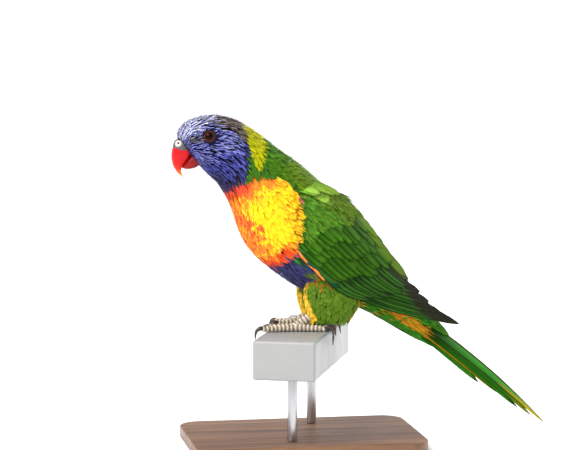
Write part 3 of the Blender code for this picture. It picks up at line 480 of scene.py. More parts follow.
def outside_out(mesh):
    """Turns every face if the mesh as a whole is inside out."""
    mesh.calc_loop_triangles()
    corners = np.empty(len(mesh.loop_triangles) * 3, np.int32)
    mesh.loop_triangles.foreach_get("vertices", corners)
    points = np.empty(len(mesh.vertices) * 3, np.float32)
    mesh.vertices.foreach_get("co", points)
    a, b, c = np.moveaxis(points.reshape(-1, 3)[corners.reshape(-1, 3)], 1, 0)
    if np.einsum("ij,ij->", a - a.mean(0), np.cross(b - a, c - a)) < 0:
        mesh.flip_normals()


def add_piece(name, form, material, slot, replaces=(), smooth_below=60.0):
    """Links a finished coat or mesh as a piece that rides on the bird's one body."""
    mesh = form.mesh(name) if isinstance(form, Coat) else form
    mesh.materials.clear()
    mesh.materials.append(material)
    mesh.shade_smooth()
    mesh.set_sharp_from_angle(angle=math.radians(smooth_below))
    piece = bpy.data.objects.new(name, mesh)
    bpy.context.scene.collection.objects.link(piece)
    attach(piece, "root")
    if replaces:
        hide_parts(*replaces)
    return piece


# Where the plumage grows

# Edges of the markings: the angle round the body from the back, and the place along the body there
HEAD_EDGE = (
    (0.0, 5.4), (0.4, 5.5), (0.9, 5.8), (1.2, 6.15), (1.5, 6.3), (1.8, 6.1), (2.06, 5.45), (2.5, 4.6),
    (2.93, 3.9), (math.pi, 3.8),
)
COLLAR_START = ((0.0, 5.2), (0.87, 5.7), (1.12, 6.2), (1.3, 6.9))
COLLAR_END = ((0.0, 6.7), (0.7, 7.0), (1.0, 7.15), (1.3, 7.1), (1.32, 0.0))
BREAST_START = (
    (1.05, 8.4), (1.19, 7.95), (1.43, 7.35), (1.64, 6.7), (1.8, 6.2), (2.06, 5.5), (2.5, 4.65), (2.93, 3.95),
    (math.pi, 3.85),
)
BREAST_END = (
    (1.05, 8.5), (1.15, 8.95), (1.29, 9.5), (1.40, 9.9), (1.54, 10.4), (1.71, 10.9), (1.95, 11.5),
    (2.41, 11.7), (math.pi, 11.4),
)
BREAST_UPPER_ANGLE, BREAST_OVER_WING = 1.05, 5.2
BELLY_UPPER_ANGLE, BELLY_END = 1.75, ((1.75, 13.7), (2.2, 14.3), (2.6, 14.6), (math.pi, 14.6))
LORES, LORES_SCALE, LORES_REACH = ((1.15, 1.12), (1.9, 1.2)), (1.2, 3.0), 0.42

# Spacing, length and half width of body feathers by the place along the body
FEATHER_SPACING = (
    (0.0, 0.8), (1.0, 1.0), (2.5, 1.35), (5.5, 1.55), (6.4, 1.5), (9.0, 1.9), (12.0, 2.2), (20.0, 2.7),
)
FEATHER_LENGTH = (
    (0.0, 2.0), (1.0, 3.2), (2.5, 5.2), (5.5, 7.2), (7.0, 6.8), (9.0, 8.0), (12.0, 10.0), (20.0, 14.0),
)
FEATHER_HALF_WIDTH = (
    (0.0, 0.30), (1.0, 0.34), (2.5, 0.46), (5.5, 0.58), (6.4, 1.3), (9.0, 1.9), (12.0, 2.3), (20.0, 2.7),
)
BODY_ROOTS = (0.10, 19.2)
EYE_CLEARING, EYE_FLOW_REACH, CHEEK_TURN = 4.15, 8.0, 0.45
EYE_FLOW, EYE_FADE, EYE_SHORTEST, EYE_SLIMMEST = 1.3, 5.0, 0.45, 0.65
BARB_ROOT_SPREAD, BARB_TIP_SPREAD, BARB_OUTER_SHORTER, BARB_RISE_POWER = 0.5, 0.55, 0.22, 1.5
# How barbs differ within a feather: how far they stray across it, how far on they start, their length,
# how much the outer ones hang, how far they are ruffled, their width, and how deep their roots lie
BARB_STRAY, BARB_START, BARB_LENGTHS, BARB_DROOP = 0.12, (0.0, 0.3), (0.9, 1.1), 0.1
BARB_RUFFLE, BARB_WIDTHS, ROOT_DEPTH_SHARE, MOST_CHANCE = (-0.06, 0.08), (0.75, 1.25), 0.7, 2.2
# How body feathers differ: the spread of their headings, and their length and half width
HEADING_SPREAD, FEATHER_LENGTHS, FEATHER_WIDTHS = 0.10, (0.85, 1.15), (0.88, 1.12)
# How each region's feathers are made: the barbs of a feather and their share of its width, how far their tips
# stand over the surface, the strength of rim and shaft, how uneven their tones are, how far colours of
# neighbours mingle and how much darker a feather's outer barbs are, as painted shade between neighbours; a
# dark rim is painted shade too
STYLES = {
    "head": (3, 0.74, (0.0, 0.7), 0.75, 0.8, 0.08, 0.3, 0.68),
    "breast": (10, 0.25, (0.0, 0.45), 0.2, 0.15, 0.05, 0.45, 0.08),
    "belly": (5, 0.17, (0.1, 0.6), 0.45, 0.55, 0.30, 0.5, 0.35),
    "back": (6, 0.19, (0.25, 0.8), 0.35, 0.3, 0.08, 0.4, 0.16),
}
THIGH_STYLE = (6, 0.27, (-0.1, 0.5), 0.2, 0.35, 0.10, 0.4, 0.10)
WING_STYLE = (6, 0.22, (0.1, 0.6), 0.35, 0.4, 0.14, 0.5, 0.45)
PLUMAGE = {"spacing": 1.0, "unevenness": 0.09}
BODY_SEED, THIGH_SEED, WING_SEED, TAIL_SEED = 11, 23, 37, 53
THIGH_SPACING, THIGH_LENGTH, THIGH_HALF_WIDTH, THIGH_SKIN_DEPTH = 1.45, (4.5, 7.5), (1.1, 1.6), 1.9
THIGH_HEADING_SPREAD = 0.22
SKIRT_START, SKIRT_DROP, SKIRT_NARROWING, SKIRT_FORWARD, SKIRT_ROOTS_END = 2.6, 8.0, 0.20, 1.4, 3.7
SKIN_STEPS, THIGH_STEPS, SKIN_MARK_CHANCE = (160, 97), (24, 41), 0.5
# Where body and thighs lie on the skin's unwrap
BODY_ON_MAP = (0.02, 0.74)
THIGH_ON_MAP_U, THIGH_ON_MAP_SIZE, THIGH_ON_MAP_V = (0.02, 0.52), 0.46, (0.80, 0.18)
# How much of the vane's colour the skin takes over the root's; the darker skin is painted shade between the
# feathers
SKIN_VANE_SHARE = {"head": 0.15, "breast": 0.85, "belly": 0.5, "back": 0.5}


def scatter(surface, u_span, v_span, spacing, seed, tries_each=6, cells=(150, 90)):
    """Places strewn evenly over a surface, no two of them nearer than the spacing is there."""
    rng = np.random.default_rng(seed)
    u, v = np.linspace(*u_span, cells[0] + 1), np.linspace(*v_span, cells[1] + 1)
    corners = surface(*np.meshgrid(u, v, indexing="ij"))
    first = corners[:-1, :-1]
    area = np.linalg.norm(np.cross(corners[1:, :-1] - first, corners[:-1, 1:] - first), axis=-1)
    middle_u, middle_v = np.meshgrid((u[1:] + u[:-1]) / 2, (v[1:] + v[:-1]) / 2, indexing="ij")
    wanted = (area / spacing(middle_u, middle_v) ** 2).ravel()
    tries = int(wanted.sum() * tries_each)
    row, column = np.divmod(rng.choice(len(wanted), tries, p=wanted / wanted.sum()), cells[1])
    at_u = u[row] + rng.random(tries) * (u[1] - u[0])
    at_v = v[column] + rng.random(tries) * (v[1] - v[0])
    points, gaps = surface(at_u, at_v), spacing(at_u, at_v)
    size = gaps.max()
    keys = np.floor(points / size).astype(int).tolist()
    taken, kept = {}, []
    near = [(i, j, k) for i in (-1, 0, 1) for j in (-1, 0, 1) for k in (-1, 0, 1)]
    for n, ((x, y, z), key, gap) in enumerate(zip(points.tolist(), keys, gaps.tolist())):
        limit = gap * gap
        if any(
            (x - a) ** 2 + (y - b) ** 2 + (z - c) ** 2 < limit
            for i, j, k in near
            for a, b, c in taken.get((key[0] + i, key[1] + j, key[2] + k), ())
        ):
            continue
        taken.setdefault(tuple(key), []).append((x, y, z))
        kept.append(n)
    return at_u[kept], at_v[kept]


def round_the_eye(surface, t, angle, heading):
    """Turns feathers that would run into the eye so that they flow round it."""
    points = surface(t, angle)
    ahead = unit(surface(t + PROBE, angle) - points)
    around = unit(surface(t, angle + PROBE) - points)
    centre = np.where(points[:, 1:2] < 0, EYE_ON_HEAD * (1, -1, 1), EYE_ON_HEAD)
    away = points - centre
    distance = np.linalg.norm(away, axis=-1)
    away = unit(away)
    lie = ahead * np.cos(heading)[:, None] + around * np.sin(heading)[:, None]
    into = np.minimum(np.einsum("ij,ij->i", lie, away), 0.0)
    weight = np.exp(-np.maximum(distance - EYE_CLEARING, 0) ** 2 / EYE_FLOW_REACH)
    lie = unit(lie - away * (into * weight * EYE_FLOW)[:, None])
    turned = np.arctan2(np.einsum("ij,ij->i", lie, around), np.einsum("ij,ij->i", lie, ahead))
    return turned, distance


def speeds(surface, u, v):
    """How far the surface's point moves for each step of u, and of v."""
    here, after_u, after_v = surface(u, v), surface(u + PROBE, v), surface(u, v + PROBE)
    return [np.linalg.norm(after - here, axis=-1) / PROBE for after in (after_u, after_v)]


def lay_barbs(surface, u, v, heading, length, half_width, root_lift, tip_lift, turned):
    """Barbs rooted at u, v that follow the surface along their heading, rising from root to tip."""
    speed_u, speed_v = speeds(surface, u, v)
    reach = length[:, None] * BARB.places
    at_u = u[:, None] + reach * (np.cos(heading) / speed_u)[:, None]
    at_v = v[:, None] + reach * (np.sin(heading) / speed_v)[:, None]
    rise = 1 - (1 - BARB.places) ** BARB_RISE_POWER
    lift = root_lift[:, None] + (tip_lift - root_lift)[:, None] * rise
    paths = surface(at_u, at_v, lift)
    normals = outward_normal(surface, at_u, at_v, turned)
    return vane_rings(paths, normals, half_width, BARB)


def bake_patches(place_u, place_v, along_vane, across):
    """Each vane's small patch at its root's place on the unwrapped skin."""
    return np.stack((
        place_u[:, None, None] + across * BAKE_PATCH / 2,
        place_v[:, None, None] + (along_vane - 0.5) * BAKE_PATCH,
    ), -1)


def barb_map(half_width, length, along_vane, across):
    """How many centimetres across and along its own vane each point lies, for the barbs' fine lines."""
    return np.stack((across * half_width[:, None, None], along_vane * length[:, None, None]), -1) / 10


def vary(looks, rng, amount=0.10):
    """Each feather a little lighter or darker than the next."""
    return np.clip(looks * (1 + rng.normal(0, amount, (len(looks), 1, 1))), 0, 1)


def head_marks(t, angle, chance):
    """Looks on the head: streaked forehead and crown, cheeks with a painted highlight on their upper part,
    throat, lores and the dark hind edge.
    """
    marks = np.full(t.shape, LOOK["cheek"])
    low = angle + 0.22 * (t - 3.0) + 0.14 * chance
    marks[low > 1.75] = LOOK["throat"]
    marks[low > 2.35] = LOOK["throat_low"]
    front = (angle < 0.95 + 0.06 * chance) & (t < 3.0 + 0.5 * chance)
    marks[front] = LOOK["forehead"]
    marks[(angle < 0.62 + 0.10 * chance) & (t >= 2.8 + 0.5 * chance)] = LOOK["crown"]
    marks[(angle < 0.85 + 0.15 * chance) & (t >= 3.7 + 0.5 * chance)] = LOOK["hind_crown"]
    # Lighter feathers on the upper cheek: painted highlight
    marks[(angle > 0.8) & (angle < 1.45) & (t > 2.6) & (t < 5.2) & (chance > 0.0)] = LOOK["cheek_highlight"]
    rear = (t > table_value(HEAD_EDGE, angle) - 0.35 + 0.12 * chance) & (angle < 1.6)
    marks[rear] = np.where(angle > 0.85, LOOK["throat_low"], LOOK["hind_crown"])[rear]
    marks[(t < 0.30 + 0.15 * chance) & (angle < 1.5)] = LOOK["lores"]
    (first_t, first_angle), (last_t, last_angle) = LORES
    share = np.clip((t - first_t) / (last_t - first_t), 0, 1)
    off_t = (t - first_t - share * (last_t - first_t)) * LORES_SCALE[0]
    off_angle = (angle - first_angle - share * (last_angle - first_angle)) * LORES_SCALE[1]
    marks[np.hypot(off_t, off_angle) < LORES_REACH] = LOOK["lores"]
    return marks


def breast_marks(t, angle, chance):
    """Looks on the breast: red above and in front, yellow at the sides, orange where they meet."""
    start, end = table_value(BREAST_START, angle), table_value(BREAST_END, angle)
    after, left = t - start, end - t
    front = smooth(angle, 1.85, 2.5)
    marks = np.full(t.shape, LOOK["breast_yellow"])
    marks[chance > 1.7 - 2.5 * front] = LOOK["breast_orange"]
    marks[(chance > 2.4 - 2.1 * front) | (chance < -3.0 + 1.8 * front)] = LOOK["breast_red"]
    reach = smooth(angle, 1.35, 2.0)
    marks[after < 0.5 + 0.4 * chance + 1.1 * reach] = LOOK["breast_orange"]
    marks[after < -0.3 + 0.35 * chance + 1.35 * reach] = LOOK["breast_red"]
    marks[(angle < 1.75) & (left < 0.75 + 0.35 * chance)] = LOOK["breast_gold"]
    low = smooth(angle, 1.5, 2.2)
    marks[left < -0.25 + 0.25 * chance + 1.3 * low] = LOOK["breast_orange"]
    marks[left < -0.4 + 0.2 * chance + 0.95 * low] = LOOK["breast_rim"]
    return marks


def on_breast(t, angle):
    """Which places lie within the breast's patch."""
    start, end = table_value(BREAST_START, angle), table_value(BREAST_END, angle)
    return (angle > BREAST_UPPER_ANGLE) & (t > start) & (t < end)


def body_marks(t, angle, chance):
    """The look of each feather, or patch of skin, from its place along the body and the angle round it."""
    angle = fold(angle)
    marks = np.full(t.shape, LOOK["back"])
    marks[(t < 9.5 + 0.7 * chance) & (angle < 1.0)] = LOOK["mantle"]
    marks[(t < 9.6) & (angle >= 0.95)] = LOOK["side_neck"]
    marks[(t < 7.6 + 0.3 * chance) & (angle > 1.25)] = LOOK["side_neck"]
    marks[(t < 8.2 + 0.4 * chance) & (angle <= 1.05 + 0.1 * chance)] = LOOK["nape_low"]
    marks[(t > 9.6) & (angle > 1.05)] = LOOK["flank"]
    marks[(t > 15.0) & (angle < 1.5)] = LOOK["rump"]
    belly_end = table_value(BELLY_END, angle) + 0.15 * chance
    belly = (angle > BELLY_UPPER_ANGLE + 0.05 * chance) & (t < belly_end) & (t > 9)
    marks[belly] = LOOK["belly"]
    marks[belly & (angle < 2.3) & (t > 13.0 - 0.4 * chance) & (chance > -0.8)] = LOOK["thigh"]
    marks[belly & (angle < 2.2) & (t < 12.8) & (chance > 0.2)] = LOOK["belly_green"]
    marks[belly & (chance < -1.9)] = LOOK["belly_red"]
    low_patch = (np.abs(angle - 2.0) < 0.2) & (np.abs(t - 14.0) < 0.45)
    marks[belly & low_patch & (chance > -0.2)] = LOOK["belly_red"]
    vent = (t > belly_end) & (angle > 1.5)
    marks[vent] = LOOK["vent_green"]
    marks[vent & (t > 15.5) & (chance > 0.35)] = LOOK["vent_yellow"]
    under_wing = (t > 14.8) & (t < 17.6) & (angle > 1.8) & (angle < 2.34 + 0.05 * chance)
    marks[under_wing] = np.where(t > 15.8, LOOK["vent_yellow"], LOOK["vent_orange"])[under_wing]
    collar = (t > table_value(COLLAR_START, angle)) & (t < table_value(COLLAR_END, angle) + 0.12 * chance)
    marks[collar] = LOOK["collar"]
    marks = np.where(on_breast(t, angle), breast_marks(t, angle, chance), marks)
    head = t < table_value(HEAD_EDGE, angle) + 0.10 * chance
    return np.where(head, head_marks(t, angle, chance), marks)


def region_of(t, angle):
    """Which of the coat's pieces a body feather belongs to."""
    region = np.full(t.shape, "back", dtype=object)
    region[(angle > 1.3) & (t > 10.0)] = "belly"
    region[on_breast(t, angle)] = "breast"
    region[t < table_value(HEAD_EDGE, angle)] = "head"
    return region


def unwrap_body(t, angle):
    start, size = BODY_ON_MAP
    return (angle + math.pi) / (2 * math.pi) % 1.0, start + t / BODY_END * size


def unwrap_thigh(side, t, angle):
    start_u = THIGH_ON_MAP_U[0] if side < 0 else THIGH_ON_MAP_U[1]
    start_v, size_v = THIGH_ON_MAP_V
    u = start_u + (angle / (2 * math.pi)) % 1.0 * THIGH_ON_MAP_SIZE
    return u, start_v + t / (len(THIGH_RIBS) - 1) * size_v


def grow_feathers(coat, surface, roots, marks_of, style, rng, unwrap, turned=1.0):
    """Grows feathers as slim barbs that fan out from each root, so that neighbours mingle at their edges."""
    u, v, heading, length, half_width, depth, raised = roots
    count, barb_share, tip_span, rim, shaft, unevenness, mingling, outer_barb_shade = style
    owner = np.repeat(np.arange(len(u)), count)
    x = np.tile(np.linspace(-1, 1, count), len(u)) + rng.normal(0, BARB_STRAY, len(owner))
    speed_u, speed_v = (speed[owner] for speed in speeds(surface, u, v))
    turn, reach, half_width = heading[owner], length[owner], half_width[owner]
    off, back = x * half_width * BARB_ROOT_SPREAD, rng.uniform(*BARB_START, len(owner)) * reach
    at_u = u[owner] + (back * np.cos(turn) - off * np.sin(turn)) / speed_u
    at_v = v[owner] + (back * np.sin(turn) + off * np.cos(turn)) / speed_v
    turn = turn + np.arctan2(x * half_width * BARB_TIP_SPREAD, reach)
    reach = (reach - back) * (1 - BARB_OUTER_SHORTER * x * x) * rng.uniform(*BARB_LENGTHS, len(owner))
    lift = (rng.uniform(*tip_span, u.shape) + raised)[owner] - BARB_DROOP * np.abs(x) * half_width
    lift = lift + rng.uniform(*BARB_RUFFLE, len(owner))
    width = barb_share * half_width * rng.uniform(*BARB_WIDTHS, owner.shape)
    sunk = -depth[owner] * ROOT_DEPTH_SHARE
    rings, along_vane, across = lay_barbs(surface, at_u, at_v, turn, reach, width, sunk, lift, turned)
    chance = rng.normal(0, 1, u.shape)[owner] * (1 - mingling) + rng.normal(0, 1, owner.shape) * mingling
    looks = LOOKS[marks_of(at_u, at_v, np.clip(chance, -MOST_CHANCE, MOST_CHANCE))]
    tone = 1 + rng.normal(0, PLUMAGE["unevenness"], u.shape)[owner] + rng.normal(0, unevenness, owner.shape)
    # Outer barbs darker: painted shade between neighbouring feathers
    looks = np.clip(looks * (tone - outer_barb_shade * x**2)[:, None, None], 0, 1)
    coat.add(
        rings, paint_vanes(looks, along_vane, across, rim=rim, shaft=shaft),
        bake_patches(*unwrap(at_u, at_v), along_vane, across), barb_map(width, reach, along_vane, across),
    )


def body_coats():
    """Every feather of head, neck, breast, belly and back, gathered by region."""
    def spacing(t, angle):
        return table_value(FEATHER_SPACING, t) * PLUMAGE["spacing"]

    t, angle = scatter(body_point, BODY_ROOTS, (-math.pi, math.pi), spacing, BODY_SEED)
    rng = np.random.default_rng(BODY_SEED + 1)
    around = fold(angle)
    cheek_side = np.sign((angle + math.pi) % (2 * math.pi) - math.pi)
    on_cheek = smooth(around, 0.8, 1.2) * (1 - smooth(around, 2.3, 2.9))
    on_cheek = on_cheek * smooth(t, 0.8, 2.5) * (1 - smooth(t, 5.5, 6.5))
    heading = rng.normal(0, HEADING_SPREAD, t.shape) - CHEEK_TURN * on_cheek * cheek_side
    heading, eye_distance = round_the_eye(body_point, t, angle, heading)
    under_wing = (t > 10.0) & (around > 0.85) & (around < 1.55)
    off_eye = smooth(eye_distance, EYE_CLEARING, EYE_CLEARING + EYE_FADE)
    length = table_value(FEATHER_LENGTH, t) * (EYE_SHORTEST + (1 - EYE_SHORTEST) * off_eye)
    length = length * rng.uniform(*FEATHER_LENGTHS, t.shape)
    half_width = table_value(FEATHER_HALF_WIDTH, t) * (EYE_SLIMMEST + (1 - EYE_SLIMMEST) * off_eye)
    half_width = half_width * rng.uniform(*FEATHER_WIDTHS, t.shape)
    region = region_of(t, around)
    over_wing = smooth(t - table_value(BREAST_END, around), -1.7, -0.6) * (region == "breast")
    over_wing = over_wing * smooth(around, 1.0, 1.3) * (1 - smooth(around, 1.7, 2.1))
    roots = (t, angle, heading, length, half_width, table_value(SKIN_DEPTH, t), BREAST_OVER_WING * over_wing)
    coats = {}
    for name, style in STYLES.items():
        own = (region == name) & (eye_distance > EYE_CLEARING) & ~(under_wing & (name != "breast"))
        coats[name] = Coat()
        own_roots = [values[own] for values in roots]
        grow_feathers(coats[name], body_point, own_roots, body_marks, style, rng, unwrap_body)
    return coats


def thigh_marks(t, angle, chance):
    """The look of each thigh feather: yellow in front and below, green elsewhere."""
    front = -0.97 + 0.09 * np.maximum(t - 1.2, 0) + 0.03 * chance
    marks = np.full(t.shape, LOOK["thigh"])
    marks[np.cos(angle) < front] = LOOK["thigh_front"]
    marks[(np.cos(angle) > 0.9) & (t > 1.6) & (chance > -0.3)] = LOOK["vent_yellow"]
    marks[(t > 4.1) & (chance > 0.3)] = LOOK["vent_yellow"]
    marks[(t < 0.55 + 0.3 * chance) & (np.cos(angle) < 0.3) & (chance > 0.25)] = LOOK["belly_red"]
    return marks


def thigh_skirt(side):
    """The thigh's surface, but hanging straight down below its widest part to cover the shank."""
    surface = thigh_point(side)

    def hanging(t, angle, lift=0.0):
        below = np.maximum(t - SKIRT_START, 0.0)
        points = surface(np.minimum(t, SKIRT_START), angle, lift)
        middle = surface(np.full(t.shape, SKIRT_START), angle, -along(THIGH_RIBS, np.array(SKIRT_START))[2])
        points = points + (middle - points) * (SKIRT_NARROWING * below)[..., None]
        points[..., 0] -= SKIRT_FORWARD * below
        points[..., 2] -= SKIRT_DROP * below
        return points
    return hanging


def thigh_coat():
    def spacing(t, angle):
        return np.full(t.shape, THIGH_SPACING * PLUMAGE["spacing"])

    coat = Coat()
    for side in (-1, 1):
        surface = thigh_skirt(side)
        t, angle = scatter(surface, (0.0, SKIRT_ROOTS_END), (0.0, 2 * math.pi), spacing, THIGH_SEED + side)
        rng = np.random.default_rng(THIGH_SEED + 5 + side)
        length, heading = rng.uniform(*THIGH_LENGTH, t.shape), rng.normal(0, THIGH_HEADING_SPREAD, t.shape)
        half_width = rng.uniform(*THIGH_HALF_WIDTH, t.shape)
        roots = (
            t, angle, heading, length, half_width, np.full(t.shape, THIGH_SKIN_DEPTH), np.zeros(t.shape),
        )
        unwrap = partial(unwrap_thigh, side)
        grow_feathers(coat, surface, roots, thigh_marks, THIGH_STYLE, rng, unwrap, side)
    return coat


def skin_mesh():
    """The skin of body and thighs under the plumage, in the plumage's own markings, darker as painted shade
    between the feathers.
    """
    skin = Coat()
    rng = np.random.default_rng(BODY_SEED + 2)
    rows, sides = SKIN_STEPS
    t, angle = grid((0.0, BODY_END, rows), (-math.pi, math.pi, sides))
    looks = LOOKS[body_marks(t, angle, rng.normal(0, SKIN_MARK_CHANCE, t.shape))]
    vane_share = np.vectorize(SKIN_VANE_SHARE.get)(region_of(t, fold(angle)))
    island = np.stack(((angle + math.pi) / (2 * math.pi), unwrap_body(t, angle)[1]), -1)
    # Between root and vane: darker, as painted shade where the skin shows between feathers
    down = blend(looks[..., ROOT, :], looks[..., VANE, :], vane_share)
    skin.add(body_point(t, angle, -table_value(SKIN_DEPTH, t))[None], down, island, island)
    rows, sides = THIGH_STEPS
    # The thighs' skin between root and vane, darker as painted shade
    down = (LOOKS[LOOK["thigh"], ROOT] + LOOKS[LOOK["thigh"], VANE]) / 2
    for side in (-1, 1):
        t, angle = grid((0, len(THIGH_RIBS) - 1, rows), (0, 2 * math.pi - 1e-6, sides))
        island = np.stack(unwrap_thigh(side, t, angle), -1)
        rings = thigh_point(side)(t, angle, -THIGH_SKIN_DEPTH)
        skin.add((rings[:, ::-1] if side < 0 else rings)[None], down, island, island)
    mesh = skin.mesh("plumage_skin")
    merge_doubles(mesh)
    return mesh


# Wings

# Tiers of a folded wing: how many feathers, where the lowest and highest are rooted and end along the wing
# and across it, half width, height of root and tip over the surface, look, share of the inner web's dark,
# partly the feathers' own and partly painted shade where the next feather overlaps
WING_TIERS = (
    (10, (0.47, 0.56), (1.0, 0.8), (-0.92, 0.0), (-0.3, 0.74), 3.9, (-0.9, 0.1), "wing_flight", 0.9),
    (8, (0.14, 0.42), (0.34, 0.62), (-1.0, -0.94), (-1.0, -0.88), 1.8, (-0.6, 0.1), "wing_teal", 0.4),
    (7, (0.05, 0.33), (0.17, 0.43), (-1.05, -1.04), (-1.05, -1.04), 0.8, (0.3, 0.6), "wing_edge", 0.0),
    (12, (0.36, 0.5), (0.62, 0.745), (-0.88, 0.56), (-0.86, 0.62), 4.4, (-0.7, 0.4), "wing_flight", 0.75),
    (6, (0.44, 0.5), (0.735, 0.7), (0.46, 0.98), (0.56, 1.02), 4.2, (-0.6, 0.5), "wing_flight", 0.5),
    (13, (0.18, 0.42), (0.49, 0.62), (-0.93, 0.98), (-0.9, 1.0), 4.3, (-0.6, 0.6), "wing_covert", 0.45),
    (14, (0.13, 0.38), (0.34, 0.53), (-0.96, 1.0), (-0.94, 1.02), 3.7, (-0.5, 0.7), "wing_covert", 0.35),
    (14, (0.08, 0.34), (0.25, 0.46), (-0.96, 1.0), (-0.94, 1.02), 3.2, (-0.5, 0.8), "wing_covert", 0.25),
    (5, (-0.03, 0.03), (0.125, 0.22), (0.66, 1.06), (0.7, 0.98), 3.0, (0.6, 2.0), "wing_tongue", 0.2),
)
TIER_STEP_LIFT, TIER_ROLL, TIP_SCATTER, ROOT_SCATTER, TIP_SWING = 0.05, 0.07, 0.026, 0.012, 0.035
TIER_ROLLS, TIER_WIDTHS, TIER_TONES = (0.3, 1.7), (0.88, 1.15), 0.10
WEB_FADE, DARK_FADE, DARK_SHARE = 0.16, 0.14, 0.9
# For each shape, from where to where across its outer web the pale edge rises and falls, the edge's strength,
# and where across the vane the dark of the inner web begins, partly its own colour and partly painted shade
WEBS = {
    FLIGHT: ((0.40, 0.6), (0.86, 0.95), 0.8, -0.6),
    COVERT: ((0.64, 0.76), (0.88, 0.95), 0.6, -0.35),
}
# Along the wing, the place across it above which the long feathers are dark
DARK_ABOVE = ((0.55, 1.4), (0.66, 0.95), (0.72, 0.6), (0.80, 0.0), (0.86, -0.45), (0.92, -0.85), (1.0, -1.4))
LESSER_SPAN, LESSER_ACROSS, LESSER_SPACING = (-0.02, 0.46), (-1.06, 1.12), 1.7
LESSER_EDGE = ((-1.1, 0.13), (0.0, 0.28), (0.8, 0.42), (1.15, 0.40))
LESSER_LIFT, LESSER_HALF_WIDTH = 0.5, 1.9
# Length at the wing's front, and what it gains along the wing and at the upper edge
LESSER_LENGTH = (6.5, 6.0, 4.0)
# Least value, span, start on the map and size there, across the wing and along it
LESSER_MAP = ((-1.2, 2.5, 0.03, 0.94), (0.0, 0.5, 0.06, 0.88))
# Where the teal lower edge and the olive upper edge fade, across the wing and along it, and their strengths
TEAL_EDGE, OLIVE_EDGE = ((-0.97, -0.84), (0.45, 0.6), 0.75), ((0.86, 1.02), (0.66, 0.74), 0.7)
WING_CORE_DEPTH, WING_CORE_END, WING_CORE_EDGE, WING_CORE_STEPS = 1.0, 0.80, 0.96, (40, 20)
WING_CELLS, TAIL_CELLS = 10, 4


def lay_tier(surface, side, tier, rng):
    """One tier of overlapping wing feathers, each a little higher than the one below it."""
    count, root_s, tip_s, root_c, tip_c, half_width, (root_lift, tip_lift), look, web_dark_and_shade = tier
    shape = FLIGHT if look == "wing_flight" else COVERT
    ends = (root_s, tip_s, root_c, tip_c)
    start_s, end_s, start_c, end_c = (np.interp(np.linspace(0, 1, count), (0, 1), span) for span in ends)
    start_s = start_s + rng.uniform(-ROOT_SCATTER, ROOT_SCATTER, count)
    end_s = np.minimum(end_s + rng.uniform(-TIP_SCATTER, TIP_SCATTER, count), 1.0)
    f = shape.places
    at_s = start_s[:, None] + (end_s - start_s)[:, None] * f
    at_c = start_c[:, None] + (end_c - start_c)[:, None] * f + rng.normal(0, TIP_SWING, (count, 1)) * f
    step = TIER_STEP_LIFT * np.arange(count)[:, None]
    lift = root_lift + (tip_lift - root_lift) * (1 - (1 - f) ** 2) + step
    paths = surface(at_s, at_c, lift)
    normals = outward_normal(surface, at_s, at_c, -side)
    upward = np.cross(unit(np.gradient(paths, axis=1)), normals) * side
    normals = unit(normals + upward * rng.uniform(*TIER_ROLLS, (count, 1, 1)) * TIER_ROLL)
    widths = half_width * rng.uniform(*TIER_WIDTHS, count)
    rings, along_vane, across = vane_rings(paths, normals, widths, shape)
    looks = vary(np.repeat(LOOKS[LOOK[look]][None], count, axis=0), rng, TIER_TONES)
    # Dark rims and dark tips: painted shade between the wing feathers
    colours = paint_vanes(
        looks, along_vane, across, rim=0.9, shaft=0.25, shaft_width=0.14, rim_power=4.0, tip_rim=0.8,
    )
    web = across * side
    pale_from, pale_to, pale_strength, dark_from = WEBS[shape]
    pale = smooth(-web, *pale_from) * (1 - smooth(-web, *pale_to)) * smooth(along_vane, 0.2, 0.5)
    colours = over(colours, looks[:, None, None, SHAFT], pale * pale_strength)
    # The inner web darkened: partly its own dark, partly painted shade under the next feather
    dark = LOOKS[LOOK["wing_tip"], VANE]
    colours = over(colours, dark, smooth(web, dark_from, dark_from + WEB_FADE) * web_dark_and_shade)
    if shape is FLIGHT:
        above = at_c - table_value(DARK_ABOVE, at_s)
        colours = over(colours, dark, smooth(above, -DARK_FADE, DARK_FADE)[..., None] * DARK_SHARE)
    if look != "wing_edge":
        across_to, along_to, strength = TEAL_EDGE
        lower = (1 - smooth(at_c, *across_to)) * (1 - smooth(at_s, *along_to)) * strength
        colours = over(colours, LOOKS[LOOK["wing_teal"], VANE], lower[..., None])
    across_from, along_to, strength = OLIVE_EDGE
    upper = smooth(at_c, *across_from) * (1 - smooth(at_s, *along_to)) * strength
    colours = over(colours, LOOKS[LOOK["wing_olive"], TIP], upper[..., None])
    return rings, colours, along_vane, across, widths


def own_islands(count, first_cell, cells_each_way, along_vane, across):
    """A cell of the map for each large feather."""
    cell = np.arange(first_cell, first_cell + count)
    row, column = np.divmod(cell, cells_each_way)
    u = (column[:, None, None] + 0.5 + across * 0.42) / cells_each_way
    v = (row[:, None, None] + 0.04 + along_vane * 0.92) / cells_each_way
    return np.stack((u, v), -1)


